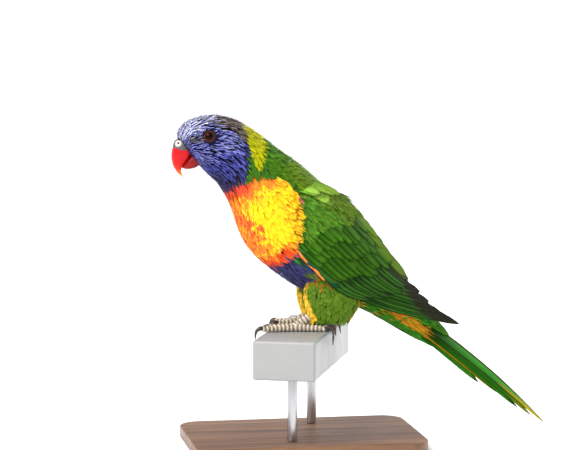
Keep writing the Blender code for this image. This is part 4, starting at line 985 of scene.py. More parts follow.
def wing_flights(side):
    """Flight feathers, the larger coverts and the plate under them, as one mesh."""
    surface = wing_surface(side)
    rng = np.random.default_rng(WING_SEED)
    coat, cell = Coat(), 0
    for tier in WING_TIERS:
        rings, colours, along_vane, across, widths = lay_tier(surface, side, tier, rng)
        length = np.linalg.norm(rings[:, -1, 0] - rings[:, 0, 0], axis=-1)
        islands = own_islands(len(rings), cell, WING_CELLS, along_vane, across)
        coat.add(rings, colours, islands, barb_map(widths, length, along_vane, across))
        cell += len(rings)
    rows, columns = WING_CORE_STEPS
    s, c = grid((0.0, WING_CORE_END, rows), (-WING_CORE_EDGE, WING_CORE_EDGE, columns))
    depth = along(WING_RIBS, s * (len(WING_RIBS) - 1))[..., 7]
    outer, inner = surface(s, c, -WING_CORE_DEPTH), surface(s, c, -WING_CORE_DEPTH - depth)[:, ::-1]
    rings = np.concatenate((outer, inner), axis=1)
    u, v = ((WING_CELLS - 1 + np.linspace(0, 0.9, size)) / WING_CELLS for size in rings.shape[1::-1])
    last_cell = np.stack(np.broadcast_arrays(u, v[:, None]), -1)
    rings = rings[:, ::-1] if side < 0 else rings
    # The plate under the feathers in the dark root colour: painted shade where it shows between them
    coat.add(rings[None], LOOKS[LOOK["wing_covert"], ROOT], last_cell, last_cell)
    return coat


def wing_marks(s, c, chance):
    """The look of each small covert, from its place along the wing and across it."""
    marks = np.full(s.shape, LOOK["wing_lesser"])
    marks[(c > 0.62 + 0.2 * chance) | (chance > 0.8)] = LOOK["wing_olive"]
    marks[(s < 0.11 + 0.03 * chance) & (c > -0.5) & (c < 0.62) & (chance > -0.8)] = LOOK["wing_bright"]
    marks[(c > 0.62) & (s < 0.17 + 0.02 * chance) & (c < 1.04)] = LOOK["wing_tongue"]
    marks[(c > 0.10) & (c < 0.45) & (s < 0.045 + 0.01 * chance)] = LOOK["wing_pink"]
    marks[(c < -0.96) & (s > 0.15)] = LOOK["wing_teal"]
    marks[(c < -1.02) & (s > 0.13) & (s < 0.30)] = LOOK["wing_orange"]
    return marks


def wing_coverts(side):
    """The small coverts over the wing's shoulder and along its upper edge, like scales."""
    def spacing(s, c):
        return np.full(s.shape, LESSER_SPACING)

    def unwrap(s, c):
        return [
            start + (value - least) / span * size
            for value, (least, span, start, size) in zip((c, s), LESSER_MAP)
        ]

    surface = wing_surface(side)
    s, c = scatter(surface, LESSER_SPAN, LESSER_ACROSS, spacing, WING_SEED + 1)
    own = (s < table_value(LESSER_EDGE, c)) | (c > 1.0)
    s, c = s[own], c[own]
    rng = np.random.default_rng(WING_SEED + 2)
    front, gain_along, gain_up = LESSER_LENGTH
    length = front + gain_along * s + gain_up * smooth(c, 0.7, 1.0)
    length = rng.uniform(0.9, 1.1, s.shape) * length
    nothing = np.zeros(s.shape)
    half_width = nothing + LESSER_HALF_WIDTH
    lift = LESSER_LIFT * (1 - 0.8 * smooth(c, 0.8, 1.0))
    roots = (s, c, rng.normal(0, 0.14, s.shape), length, half_width, nothing, lift)
    coat = Coat()
    grow_feathers(coat, surface, roots, wing_marks, WING_STYLE, rng, unwrap, -side)
    return coat


# The tail

# Tiers of coverts: place along the body, first and last angle, length, half width, count a side and looks
UNDER_COVERTS = (
    (19.2, 1.6, 3.1, 27.0, 1.6, 15, 3 * ("vent_yellow",) + 2 * ("vent_green",)),
    (18.6, 1.6, 3.1, 24.5, 1.6, 16, 2 * ("vent_yellow",) + 3 * ("vent_green",)),
    (18.0, 1.6, 3.1, 22.0, 1.6, 17, 2 * ("vent_yellow",) + 3 * ("vent_green",)),
    (17.4, 1.5, 3.1, 19.0, 1.6, 18, ("vent_orange", "vent_yellow") + 3 * ("vent_green",)),
    (16.8, 1.5, 3.1, 16.0, 1.6, 18, ("vent_orange",) + 4 * ("vent_green",)),
)
UPPER_COVERTS = (
    (19.2, 0.0, 0.9, 19.0, 2.2, 8, ("tail_green", "rump")),
    (18.4, 0.0, 1.1, 17.0, 2.2, 9, ("rump", "tail_green")),
    (17.6, 0.0, 1.4, 16.0, 2.4, 10, ("rump", "rump")),
)


def paint_tail_vane(order, side, along_vane, across, rng):
    """One tail feather's colours, order 0 being the middle pair."""
    looks = vary(LOOKS[LOOK["tail_green"]][None], rng, 0.05)
    colours = paint_vanes(looks, along_vane, across, rim=0.4, shaft=0.35, shaft_width=0.14)
    outer, inner = -across * side, across * side
    brown_band = smooth(outer, 0.6, 0.8) * (1 - smooth(outer, 0.86, 0.95))
    yellow_end = smooth(outer, 0.2, 0.6) * smooth(along_vane, 0.66, 0.8)
    for look, part, share, strength in (
        ("wing_tip", VANE, smooth(along_vane, 0.84, 1.0), 0.9 if order > 1 else 0.25),
        ("tail_olive", VANE, smooth(along_vane, 0.72, 0.95), 0.8 if order < 2 else 0.0),
        ("tail_brown", VANE, brown_band, 0.9 if order in (1, 3) else 0.0),
        ("vent_yellow", TIP, smooth(outer, 0.88, 0.97), 0.95 if order == 3 else 0.0),
        ("vent_yellow", TIP, yellow_end, 0.9 if order == 0 else 0.0),
        ("tail_brown", VANE, smooth(inner, 0.3, 0.8), 0.6),
    ):
        colours = over(colours, LOOKS[LOOK[look], part], share * strength)
    return colours


def tail_vanes():
    """The tail's feathers, laid from the outermost pair to the middle one."""
    coat, cell = Coat(), 0
    rng = np.random.default_rng(TAIL_SEED)
    f = TAIL_VANE.places[:, None]
    for order, (root_y, tip_x, tip_y, tip_z, bow, width) in reversed(list(enumerate(TAIL_FEATHERS))):
        root_x, root_z = (first + step * order for first, step in zip(TAIL_ROOT, TAIL_ROOT_STEP))
        for side in (-1, 1):
            start, stop = np.array((root_x, root_y * side, root_z)), np.array((tip_x, tip_y * side, tip_z))
            if order == 0 and side < 0:
                stop = start + (stop - start) * LEFT_MIDDLE_LENGTH
            axis = unit(stop - start)
            up = unit(np.array((-axis[2], 0.0, axis[0])))
            tilt = -side * (TAIL_TILT + TAIL_TILT_STEP * order)
            normal = up * math.cos(tilt) + np.cross(axis, up) * math.sin(tilt)
            path = (start + (stop - start) * f + up * bow * np.sin(math.pi * f))[None]
            widths, length = np.array([width / 2]), np.array([np.linalg.norm(stop - start)])
            normals = np.broadcast_to(normal, path.shape)
            rings, along_vane, across = vane_rings(path, normals, widths, TAIL_VANE)
            colours = paint_tail_vane(order, side, along_vane, across, rng)
            island = own_islands(1, cell, TAIL_CELLS, along_vane, across)
            coat.add(rings, colours, island, barb_map(widths, length, along_vane, across))
            cell += 1
    return coat


def tail_coverts():
    """Coverts over and under the tail's root, straight from the body to their free ends."""
    coat = Coat()
    rng = np.random.default_rng(TAIL_SEED + 1)
    f = COVERT.places
    for t, first, last, reach, half_width, count, looks_here in (*UNDER_COVERTS, *UPPER_COVERTS):
        angle = np.concatenate([side * np.linspace(first, last, count) for side in (-1, 1)])
        rank = np.tile(np.linspace(0, len(looks_here) - 0.01, count), 2) + rng.normal(0, 0.3, 2 * count)
        place_t = np.full(angle.shape, t) + rng.normal(0, TAIL_COVERT_STRAY, angle.shape)
        root, outward = body_point(place_t, angle), outward_normal(body_point, place_t, angle)
        toward = unit(body_point(place_t + 0.4, angle) - root)
        length = reach * rng.uniform(*TAIL_COVERT_LENGTHS, angle.shape)
        rise = TAIL_COVERT_RISE * np.minimum(1, f * TAIL_COVERT_SLOPE) - TAIL_COVERT_SUNK
        rise = rise - TAIL_COVERT_BEND * f * f
        paths = root[:, None] + toward[:, None] * (length[:, None] * f)[..., None]
        paths = paths + outward[:, None] * rise[:, None]
        widths = half_width * rng.uniform(0.9, 1.1, angle.shape)
        normals = np.broadcast_to(outward[:, None], paths.shape)
        rings, along_vane, across = vane_rings(paths, normals, widths, COVERT)
        marks = np.array([LOOK[looks_here[n]] for n in np.clip(rank.astype(int), 0, len(looks_here) - 1)])
        looks = vary(LOOKS[marks], rng, 0.08)
        colours = paint_vanes(looks, along_vane, across, rim=0.5, shaft=0.3)
        patches = bake_patches(*unwrap_body(place_t, angle), along_vane, across)
        coat.add(rings, colours, patches, barb_map(widths, length, along_vane, across))
    return coat


# Bill, cere, eyes and feet

# Each half of the bill: its rings, their sides, the strength of its dark edge, its colours with their places
UPPER_BILL_LOOK = (60, 48, 0.6, (
    ("#7c0808", 0.0), ("#c40c12", 0.15), ("#d01014", 0.5), ("#dc3010", 0.68), ("#f08418", 0.85),
    ("#ffc430", 1.0),
))
LOWER_BILL_LOOK = (44, 40, 0.0, (("#3c0404", 0.0), ("#7c0a08", 0.3), ("#98100c", 0.7), ("#a81c10", 1.0)))
BILL_EDGE_COLOUR, BILL_EDGE_REACH = "#5a0c06", (0.72, 1.0)
CERE_STEPS, CERE_COLOUR, BRISTLE_COLOUR, BRISTLES = (70, 120), "#c2bcb6", "#332e3a", (1.7, 3.0, 0.85)
NOSTRIL_SHADE_COLOUR, NOSTRIL_RADIUS, NOSTRIL_DEPTH = "#300c0a", 0.85, 1.3
NOSTRIL_RIM_COLOUR, NOSTRIL_RIM_RADIUS, NOSTRIL_RIM_HEIGHT = "#e6e0da", 1.45, 0.42
# The eye from its middle outwards: shares of the pupil's and of the iris's colour, and angle off the axis
EYE_RINGS = (
    (1.0, 0.0, 0.0), (1.0, 0.0, 0.56), (1.0, 0.04, 0.60), (1.0, 0.22, 0.65), (1.0, 0.5, 0.71),
    (1.0, 0.16, 0.77), (3.0, 0.02, 0.82), (3.0, 0.02, 3.2),
)
EYE_STEPS, EYE_BULGE, EYE_BULGE_REACH = (72, 65), 0.35, 0.6
LID_STEPS, LID_STRETCH, LID_TUBE, LID_COLOUR = (73, 17), 1.04, 0.62, "#1e1a20"
GRANULES_OUT, GRANULES_FORWARD, GRANULE_PATH_STEPS = 0.35, 0.75, 96
# The foot's skin under the scutes is darker: painted shade between them
FOOT_SKIN_COLOUR, CLAW_COLOUR = "#7e7262", "#2a1c12"
SHANK_STEPS, TOE_STEPS, CLAW_STEPS, SCUTE_PATH_STEPS = (20, 18), (22, 16), (26, 14), 40
TOE_SKIN_SHARE, TOE_LAST_SHARE = 0.93, 0.5
HORN_TAPER_POWER, HORN_OVER_CLAW = 2.4, 1.12


def unwrapped(points, most=1.0):
    """A plain map of a grid of points."""
    rows, columns = (np.linspace(0, most, size) for size in points.shape[:2])
    return np.stack(np.broadcast_arrays(columns, rows[:, None]), -1)


def closed_grid(name, points, colours):
    """A closed form of rings whose last point repeats the first, with its own unwrap."""
    form = Coat()
    form.add(points[None], colours, unwrapped(points), unwrapped(points))
    mesh = form.mesh(name)
    merge_doubles(mesh)
    outside_out(mesh)
    return mesh


def merge_doubles(mesh):
    """Joins points that coincide, so that closed forms have no seams."""
    work = bmesh.new()
    work.from_mesh(mesh)
    bmesh.ops.remove_doubles(work, verts=work.verts, dist=1e-7)
    bmesh.ops.dissolve_degenerate(work, edges=work.edges, dist=1e-7)
    work.to_mesh(mesh)
    work.free()


def horn_points(table, rows, sides):
    """Rings of a form told by its ridge, its edge and its half width."""
    t = np.linspace(0, len(table) - 1, rows)
    ridge_x, ridge_z, edge_x, edge_z, half_width = (column[:, None] for column in along(table, t).T)
    angle = np.linspace(0, 2 * math.pi, sides + 1)
    height = rounded(np.cos(angle), HORN_FULLNESS)
    width = rounded(np.sin(angle), HORN_FULLNESS) * np.maximum(half_width, HORN_LEAST_WIDTH)
    return np.stack((
        (ridge_x + edge_x) / 2 + (ridge_x - edge_x) / 2 * height,
        width,
        (ridge_z + edge_z) / 2 + (ridge_z - edge_z) / 2 * height,
    ), -1)


def graded(colours, places, at):
    """Colours along a form, from linear colours at the given places."""
    return np.stack([np.interp(at, places, channel) for channel in np.transpose(colours)], -1)


def bill_mesh(name, table, look):
    """One half of the bill, graded along its length and darker along its edge."""
    rows, sides, edge_strength, shades = look
    points = horn_points(table, rows, sides)
    codes, places = zip(*shades)
    colours = graded([linear(code) for code in codes], places, np.linspace(0, 1, rows))[:, None]
    edge = smooth(-np.cos(np.linspace(0, 2 * math.pi, sides + 1)), *BILL_EDGE_REACH) * edge_strength
    colours = over(np.broadcast_to(colours, points.shape), linear(BILL_EDGE_COLOUR), edge)
    return closed_grid(name, points, colours)


def cere_mesh():
    """The bare swelling over the bill, with a hollow and a rim for each nostril, the hollow painted dark as
    shade.
    """
    points = horn_points(CERE, *CERE_STEPS)
    colours = np.broadcast_to(linear(CERE_COLOUR), points.shape)
    middle_x, middle_z = (np.mean([row[k] + row[k + 2] for row in CERE]) / 2 for k in (0, 1))
    outward = unit(points - (middle_x, 0.0, middle_z))
    nostrils = [np.array(NOSTRIL) * (1, side, 1) for side in (-1, 1)]
    near = np.min([np.linalg.norm(points - nostril, axis=-1) for nostril in nostrils], axis=0)
    first, last, strength = BRISTLES
    colours = over(colours, linear(BRISTLE_COLOUR), smooth(near, first, last) * strength)
    for nostril in nostrils:
        distance = np.linalg.norm(points - nostril, axis=-1)
        rim = distance - NOSTRIL_RIM_RADIUS
        points = points - outward * (NOSTRIL_DEPTH * np.exp(-(distance / NOSTRIL_RADIUS) ** 2))[..., None]
        points = points + outward * (NOSTRIL_RIM_HEIGHT * np.exp(-(rim / 0.5) ** 2))[..., None]
        # The nostril's hollow painted dark: painted shade in the recess
        colours = over(colours, linear(NOSTRIL_SHADE_COLOUR), np.exp(-(distance / 0.9) ** 4))
        colours = over(colours, linear(NOSTRIL_RIM_COLOUR), 0.85 * np.exp(-(rim / 0.55) ** 2))
    return closed_grid("cere_skin", points, colours)


def facing_axes(side):
    """The way an eye faces, and two directions across it."""
    facing = EYE_FACING * (1, side, 1)
    first = unit(np.cross(facing, (0.0, 0.0, 1.0)))
    return facing, first, np.cross(facing, first)


def eye_mesh(side, pupil, iris):
    """An eyeball whose front bulges a little: black pupil, dark iris and a thin red ring."""
    facing, first, second = facing_axes(side)
    centre = EYE_ON_HEAD * (1, side, 1) - facing * EYE_DEPTH
    rows, sides = EYE_STEPS
    polar, turn = grid((0.001, math.pi - 0.001, rows), (0, 2 * math.pi, sides))
    radius = (EYEBALL_RADIUS + EYE_BULGE * np.exp(-(polar / EYE_BULGE_REACH) ** 2))[..., None]
    around = first * np.cos(turn)[..., None] + second * np.sin(turn)[..., None]
    out = facing * np.cos(polar)[..., None] + around * np.sin(polar)[..., None]
    rings = [np.array(pupil) * dark + np.array(iris) * bright for dark, bright, _ in EYE_RINGS]
    colours = graded(rings, [off_axis for *_, off_axis in EYE_RINGS], polar)
    return closed_grid("eyeball", centre + out * radius, colours)


def eyelid_mesh(side):
    """The bare rims of both lids, a soft ring round the eye."""
    facing, first, second = facing_axes(side)
    centre = EYE_ON_HEAD * (1, side, 1)
    turn, tube = grid(*((0, 2 * math.pi, count) for count in LID_STEPS))
    out = first * np.cos(turn)[..., None] * LID_STRETCH + second * np.sin(turn)[..., None] / LID_STRETCH
    offset = out * np.cos(tube)[..., None] * 1.2 + facing * np.sin(tube)[..., None] * 0.8
    return ring_grid("eyelid", centre + out * LID_RADIUS + offset * LID_TUBE, linear(LID_COLOUR))


def granule_path(side):
    """The ring outside the lids on which their granules sit."""
    facing, first, second = facing_axes(side)
    turn = np.linspace(0, 2 * math.pi, GRANULE_PATH_STEPS + 1)[:-1, None]
    ring = first * np.cos(turn) * LID_STRETCH + second * np.sin(turn) / LID_STRETCH
    return EYE_ON_HEAD * (1, side, 1) + ring * (LID_RADIUS + GRANULES_OUT) + facing * GRANULES_FORWARD


def ring_grid(name, points, colour):
    """A closed ring: both ways round, the last points repeat the first."""
    mesh = closed_grid(name, points, colour)
    work = bmesh.new()
    work.from_mesh(mesh)
    caps = [face for face in work.faces if len(face.verts) > 4]
    bmesh.ops.delete(work, geom=caps, context="FACES_ONLY")
    bmesh.ops.remove_doubles(work, verts=work.verts, dist=1e-7)
    work.to_mesh(mesh)
    work.free()
    outside_out(mesh)
    return mesh


def tube_points(path, radii, sides):
    """Rings round a path that isn't upright."""
    forward = unit(np.gradient(path, axis=0))
    side = unit(np.cross((0.0, 0.0, 1.0), forward))
    up = np.cross(forward, side)
    turn = np.linspace(0, 2 * math.pi, sides + 1)
    ring = side[:, None] * np.cos(turn)[:, None] + up[:, None] * np.sin(turn)[:, None]
    return path[:, None] + ring * radii[:, None, None]


def toe_path(root, end, steps):
    """Points of a toe's middle line, lying on the rail, with their radii."""
    f = np.linspace(0, 1, steps)
    radii = TOE_RADIUS + (TOE_END_RADIUS - TOE_RADIUS) * f
    start, stop = np.array(root), np.array(end)
    flat = start + (stop - start) * f[:, None]
    return np.column_stack((flat, radii + TOE_LIFT)), radii


def claw_points(root, end, line):
    """A claw's tapering rings, from inside the toe's end along its middle line."""
    toward = unit(np.array(end) - np.array(root))
    points = [(*(np.array(end) - toward * CLAW_OVER_TOE), TOE_END_RADIUS + TOE_LIFT + 0.1)]
    for x, z in line:
        reach = abs((x - end[0]) / toward[0]) if abs(toward[0]) > CLAW_LEAST_FORWARD else 0.0
        points.append((x, end[1] + toward[1] * min(reach, CLAW_MOST_REACH), z))
    rows, sides = CLAW_STEPS
    path = along(points, np.linspace(0, len(points) - 1, rows))
    taper = 1 - CLAW_TAPER * np.linspace(0, 1, rows) ** HORN_TAPER_POWER
    return tube_points(path, CLAW_RADIUS * taper * HORN_OVER_CLAW, sides)


def shank_path(name):
    """Points of one foot's shank with their radii."""
    points = [(x + FOOT_SHIFT[name], SIDES[name] * TARSUS_Y, z) for x, z, _ in TARSUS]
    return np.array(points), np.array([radius for *_, radius in TARSUS])


def foot_mesh(name):
    """One foot's shank and toes, under their scutes."""
    foot = Coat()
    shank, radii = shank_path(name)
    rows, sides = SHANK_STEPS
    fine = np.linspace(0, len(TARSUS) - 1, rows)
    grids = [tube_points(along(shank, fine), along(radii[:, None], fine)[:, 0], sides)]
    rows, sides = TOE_STEPS
    shares = np.full(rows, TOE_SKIN_SHARE)
    shares[-1] = TOE_LAST_SHARE
    for root, end, _ in TOES[name].values():
        path, radii = toe_path(root, end, rows)
        grids.append(tube_points(path, radii * shares, sides))
    for n, points in enumerate(grids):
        island = (unwrapped(points, 0.95) + (n, 0)) / (len(grids), 1)
        foot.add(points[None], linear(FOOT_SKIN_COLOUR), island, island)
    mesh = foot.mesh("foot_skin_" + name)
    merge_doubles(mesh)
    return mesh


# The stand

RAIL_SIZE, RAIL_ROUNDING, RAIL_TURN = (40.0, 120.0, 25.0), 1.6, math.radians(-21.4)
ROD_RADIUS, ROD_REACH, ROD_BOTTOM, ROD_TOP, ROD_CHAMFER = 3.2, 32.0, 8.3, 50.7, 0.5
PLINTH_SIZE, PLINTH_CORNER, PLINTH_EDGE = (150.0, 100.0, 8.0), 14.0, 0.9
STAND_SMOOTH_BELOW = 40.0
CORNER_STEPS, EDGE_STEPS, FIRST_EDGE_ANGLE, ROD_SIDES, CHAMFER_STEPS, CHAMFER_PROFILE = 12, 5, 0.2, 48, 2, 0.6


def finished(work, name):
    """A new mesh from a finished work mesh, which is freed."""
    mesh = bpy.data.meshes.new(name)
    work.to_mesh(mesh)
    work.free()
    return mesh


def rounded_board(name, size, low, corner, edge, turn):
    """A board standing on the height low, its upright corners and all its edges rounded."""
    work = bmesh.new()
    length, width, thickness = size
    outline = []
    for n, (x, y) in enumerate(((1, 1), (-1, 1), (-1, -1), (1, -1))):
        centre_x, centre_y = x * (length / 2 - corner), y * (width / 2 - corner)
        for a in np.linspace(0, math.pi / 2, CORNER_STEPS) + n * math.pi / 2:
            outline.append((centre_x + corner * math.cos(a), centre_y + corner * math.sin(a)))
    levels = [(low, edge)]
    for a in np.linspace(FIRST_EDGE_ANGLE, math.pi / 2, EDGE_STEPS):
        levels.append((low + edge - edge * math.cos(a), edge - edge * math.sin(a)))
    levels += [(2 * low + thickness - z, inset) for z, inset in reversed(levels)]
    rings = []
    for z, inset in levels:
        shrink_x, shrink_y = 1 - 2 * inset / length, 1 - 2 * inset / width
        rings.append([
            work.verts.new((
                (x * shrink_x * math.cos(turn) - y * shrink_y * math.sin(turn)) * MM,
                (x * shrink_x * math.sin(turn) + y * shrink_y * math.cos(turn)) * MM,
                z * MM,
            )) for x, y in outline
        ])
    for lower, upper in zip(rings, rings[1:]):
        for n in range(len(outline)):
            after = (n + 1) % len(outline)
            work.faces.new((lower[n], lower[after], upper[after], upper[n]))
    work.faces.new(rings[0][::-1])
    work.faces.new(rings[-1])
    return finished(work, name)


def rod_mesh(name, reach):
    """One upright rod, a little chamfered at both its ends."""
    work = bmesh.new()
    middle = (ROD_BOTTOM + ROD_TOP) / 2
    at = Vector((-reach * math.sin(RAIL_TURN), reach * math.cos(RAIL_TURN), middle)) * MM
    bmesh.ops.create_cone(
        work, cap_ends=True, segments=ROD_SIDES, radius1=ROD_RADIUS * MM, radius2=ROD_RADIUS * MM,
        depth=(ROD_TOP - ROD_BOTTOM) * MM, matrix=Matrix.Translation(at),
    )
    rims = [edge for edge in work.edges if any(len(face.verts) > 4 for face in edge.link_faces)]
    bmesh.ops.bevel(
        work, geom=rims, offset=ROD_CHAMFER * MM, segments=CHAMFER_STEPS, affect="EDGES",
        profile=CHAMFER_PROFILE,
    )
    return finished(work, name)


# Materials

def node(tree, kind, inputs=(), **settings):
    """A new node with its settings, and its inputs set to values or linked to other nodes' outputs."""
    made = tree.nodes.new(kind)
    for key, value in settings.items():
        setattr(made, key, value)
    for key, value in dict(inputs).items():
        if isinstance(value, bpy.types.NodeSocket):
            tree.links.new(value, made.inputs[key])
        else:
            made.inputs[key].default_value = value
    return made


def new_material(name, **constants):
    material = bpy.data.materials.new(name)
    material.use_nodes = True
    tree = material.node_tree
    shader = tree.nodes["Principled BSDF"]
    for key, value in constants.items():
        shader.inputs[key.replace("_", " ")].default_value = value
    return material, tree, shader


def stretched(tree, source, scale):
    """Coordinates scaled by its own amount along each axis."""
    return node(tree, "ShaderNodeMapping", {"Vector": source, "Scale": scale}).outputs["Vector"]


def noise(tree, vector, scale, detail=3.0, roughness=0.5):
    inputs = {"Vector": vector, "Scale": scale, "Detail": detail, "Roughness": roughness}
    return node(tree, "ShaderNodeTexNoise", inputs).outputs["Fac"]


def ranged(tree, value, low, high, start=0.3, stop=0.7):
    inputs = {"Value": value, "From Min": start, "From Max": stop, "To Min": low, "To Max": high}
    return node(tree, "ShaderNodeMapRange", inputs).outputs["Result"]


def scaled(tree, colour, factor):
    made = node(tree, "ShaderNodeVectorMath", {0: colour, "Scale": factor}, operation="SCALE")
    return made.outputs["Vector"]


def product(tree, first, second):
    return node(tree, "ShaderNodeMath", {0: first, 1: second}, operation="MULTIPLY").outputs["Value"]


def mixed(tree, factor, first, second):
    """A colour mixed from two by another node's output."""
    inputs = {0: factor, 6: (*first, 1.0), 7: (*second, 1.0)}
    return node(tree, "ShaderNodeMix", inputs, data_type="RGBA").outputs[2]


def surfaced(tree, shader, colour, roughness=None, bumps=None):
    """Gives a shader its colour, and its roughness and bumps where they vary."""
    tree.links.new(colour, shader.inputs["Base Color"])
    if roughness:
        tree.links.new(roughness, shader.inputs["Roughness"])
    if bumps:
        height, distance, strength = bumps
        bump = node(tree, "ShaderNodeBump", {"Height": height, "Distance": distance, "Strength": strength})
        tree.links.new(bump.outputs["Normal"], shader.inputs["Normal"])


def object_space(tree):
    return node(tree, "ShaderNodeTexCoord").outputs["Object"]


def painted(tree, factor):
    """The markings painted on the mesh, lighter or darker by a factor."""
    paint = node(tree, "ShaderNodeAttribute", attribute_name="markings").outputs["Color"]
    return scaled(tree, paint, factor)


def darker(colour, share):
    return [share * channel for channel in colour]


def feather_material(name, roughness, gloss):
    """Feathers in their painted colours, mottled a little, with the fine lines of their barbs."""
    material, tree, shader = new_material(
        name, Sheen_Weight=0.02, Sheen_Roughness=0.5, Specular_IOR_Level=gloss,
    )
    barbs = node(tree, "ShaderNodeUVMap", uv_map="barbs").outputs["UV"]
    lines = noise(tree, stretched(tree, barbs, (3.0, 22.0, 1.0)), 6.0, 2.0)
    mottle = noise(tree, object_space(tree), 420.0, 3.0)
    tone = product(tree, ranged(tree, lines, 0.84, 1.14), ranged(tree, mottle, 0.90, 1.10))
    rough = ranged(tree, lines, roughness - 0.06, roughness + 0.08)
    surfaced(tree, shader, painted(tree, tone), rough, (lines, 0.00012, 0.7))
    return material


def grained_material(name, scale, tone, roughness=None, bumps=None, **constants):
    """A painted surface with a fine grain that varies its tone, and its roughness and bumps where given."""
    material, tree, shader = new_material(name, **constants)
    grain = noise(tree, object_space(tree), scale, 4.0)
    rough = roughness and ranged(tree, grain, *roughness)
    surfaced(tree, shader, painted(tree, ranged(tree, grain, *tone)), rough, bumps and (grain, *bumps))
    return material


# The down under the feathers, painted darker as shade between them, the waxy pitted cere and the wet eyeball
# with its finely streaked iris
DOWN = {
    "scale": 1400.0, "tone": (0.6, 1.05), "bumps": (0.0004, 1.0),
    "Roughness": 0.9, "Specular_IOR_Level": 0.08,
}
BARE_CERE = {
    "scale": 1500.0, "tone": (0.82, 1.12), "roughness": (0.60, 0.45), "bumps": (0.0002, 0.6),
    "Subsurface_Weight": 0.1, "Subsurface_Scale": 0.001, "Specular_IOR_Level": 0.35,
}
WET_EYE = {
    "scale": 2600.0, "tone": (0.7, 1.25), "Roughness": 0.5, "Specular_IOR_Level": 0.02,
    "Coat_Weight": 0.35, "Coat_IOR": 1.35, "Coat_Roughness": 0.02,
}


def horn_material(name, growth_lines, roughness, coat):
    """Bill horn in its painted colours, with faint growth lines and a polished surface."""
    material, tree, shader = new_material(
        name, Coat_Weight=coat, Coat_Roughness=0.12, Subsurface_Weight=0.08, Subsurface_Scale=0.001,
        Specular_IOR_Level=0.2, Subsurface_Radius=(1.0, 0.35, 0.15),
    )
    where = object_space(tree)
    layers = noise(tree, stretched(tree, where, growth_lines), 1.0, 4.0, 0.6)
    grain = noise(tree, where, 2200.0, 3.0)
    rough = ranged(tree, grain, roughness - 0.08, roughness + 0.12)
    surfaced(tree, shader, painted(tree, ranged(tree, layers, 0.84, 1.14)), rough, (layers, 0.00015, 0.35))
    return material


def scale_material(name, scale_colour, shaded_crease_colour, roughness):
    """Dry scaly skin, paler on its ridges than in its creases, whose darker colour is painted shade."""
    material, tree, shader = new_material(name, Specular_IOR_Level=0.35)
    where = object_space(tree)
    cells = node(tree, "ShaderNodeTexVoronoi", {"Vector": where, "Scale": 1300.0}, feature="DISTANCE_TO_EDGE")
    ridge = ranged(tree, cells.outputs["Distance"], 0.0, 1.0, 0.0, 0.12)
    stain = noise(tree, where, 260.0, 4.0, 0.6)
    colour = scaled(tree, mixed(tree, ridge, shaded_crease_colour, scale_colour), ranged(tree, stain, 0.75, 1.12))
    rough = ranged(tree, stain, roughness + 0.08, roughness - 0.06)
    surfaced(tree, shader, colour, rough, (ridge, 0.00025, 0.8))
    return material


def claw_material(name, colour):
    """Smooth claw horn, a little streaked along its length."""
    material, tree, shader = new_material(name, Coat_Weight=0.3, Coat_Roughness=0.15)
    streaks = noise(tree, stretched(tree, object_space(tree), (150.0, 900.0, 900.0)), 1.0, 4.0)
    pale = [min(1.0, channel * 2.6 + 0.02) for channel in colour]
    colour = mixed(tree, ranged(tree, streaks, 0.0, 0.7), colour, pale)
    surfaced(tree, shader, colour, ranged(tree, streaks, 0.25, 0.42), (streaks, 0.0001, 0.4))
    return material


def paint_material(name, colour):
    """Smooth gloss paint over wood whose grain just shows through."""
    material, tree, shader = new_material(name, Coat_Weight=0.15, Coat_Roughness=0.2)
    where = object_space(tree)
    inputs = {"Vector": where, "Angle": -RAIL_TURN}
    turned = node(tree, "ShaderNodeVectorRotate", inputs, rotation_type="Z_AXIS").outputs["Vector"]
    grain = noise(tree, stretched(tree, turned, (320.0, 14.0, 320.0)), 1.0, 4.0)
    wear = noise(tree, where, 60.0, 5.0, 0.6)
    colour = mixed(tree, ranged(tree, wear, 0.0, 0.25), colour, darker(colour, 0.82))
    surfaced(tree, shader, colour, ranged(tree, wear, 0.34, 0.46), (grain, 0.00008, 0.5))
    return material


def steel_material(name, colour):
    """Drawn steel rod, brushed along its length."""
    material, tree, shader = new_material(name, Metallic=1.0)
    brushed = noise(tree, stretched(tree, object_space(tree), (2200.0, 2200.0, 30.0)), 1.0, 3.0)
    colour = scaled(tree, tuple(colour), ranged(tree, brushed, 0.85, 1.08))
    surfaced(tree, shader, colour, ranged(tree, brushed, 0.22, 0.40), (brushed, 0.00004, 0.5))
    return material


def wood_material(name, light, dark):
    """Oiled hardwood with its grain along the board."""
    material, tree, shader = new_material(name, Coat_Weight=0.1, Coat_Roughness=0.3)
    where = object_space(tree)
    drift = noise(tree, stretched(tree, where, (5.0, 40.0, 40.0)), 1.0, 3.0)
    rings = noise(tree, stretched(tree, where, (7.0, 190.0, 90.0)), 1.0, 5.0)
    pores = noise(tree, stretched(tree, where, (60.0, 1800.0, 1800.0)), 1.0, 2.0)
    figure = mixed(tree, ranged(tree, rings, 0.0, 1.0, 0.36, 0.66), light, dark)
    tone = product(tree, ranged(tree, drift, 0.85, 1.12), ranged(tree, pores, 0.80, 1.05))
    surfaced(tree, shader, scaled(tree, figure, tone), ranged(tree, pores, 0.52, 0.36), (pores, 0.00008, 0.5))
    return material


# Geometry Nodes trees

def new_tree(name, sizes):
    """An empty geometry tree with a geometry input, named number inputs and a geometry output."""
    tree = bpy.data.node_groups.new(name, "GeometryNodeTree")
    tree.interface.new_socket("Geometry", in_out="INPUT", socket_type="NodeSocketGeometry")
    for label, value, kind in sizes:
        socket = tree.interface.new_socket(label, in_out="INPUT", socket_type=kind)
        socket.default_value = value
    tree.interface.new_socket("Geometry", in_out="OUTPUT", socket_type="NodeSocketGeometry")
    return tree, tree.nodes.new("NodeGroupInput"), tree.nodes.new("NodeGroupOutput")


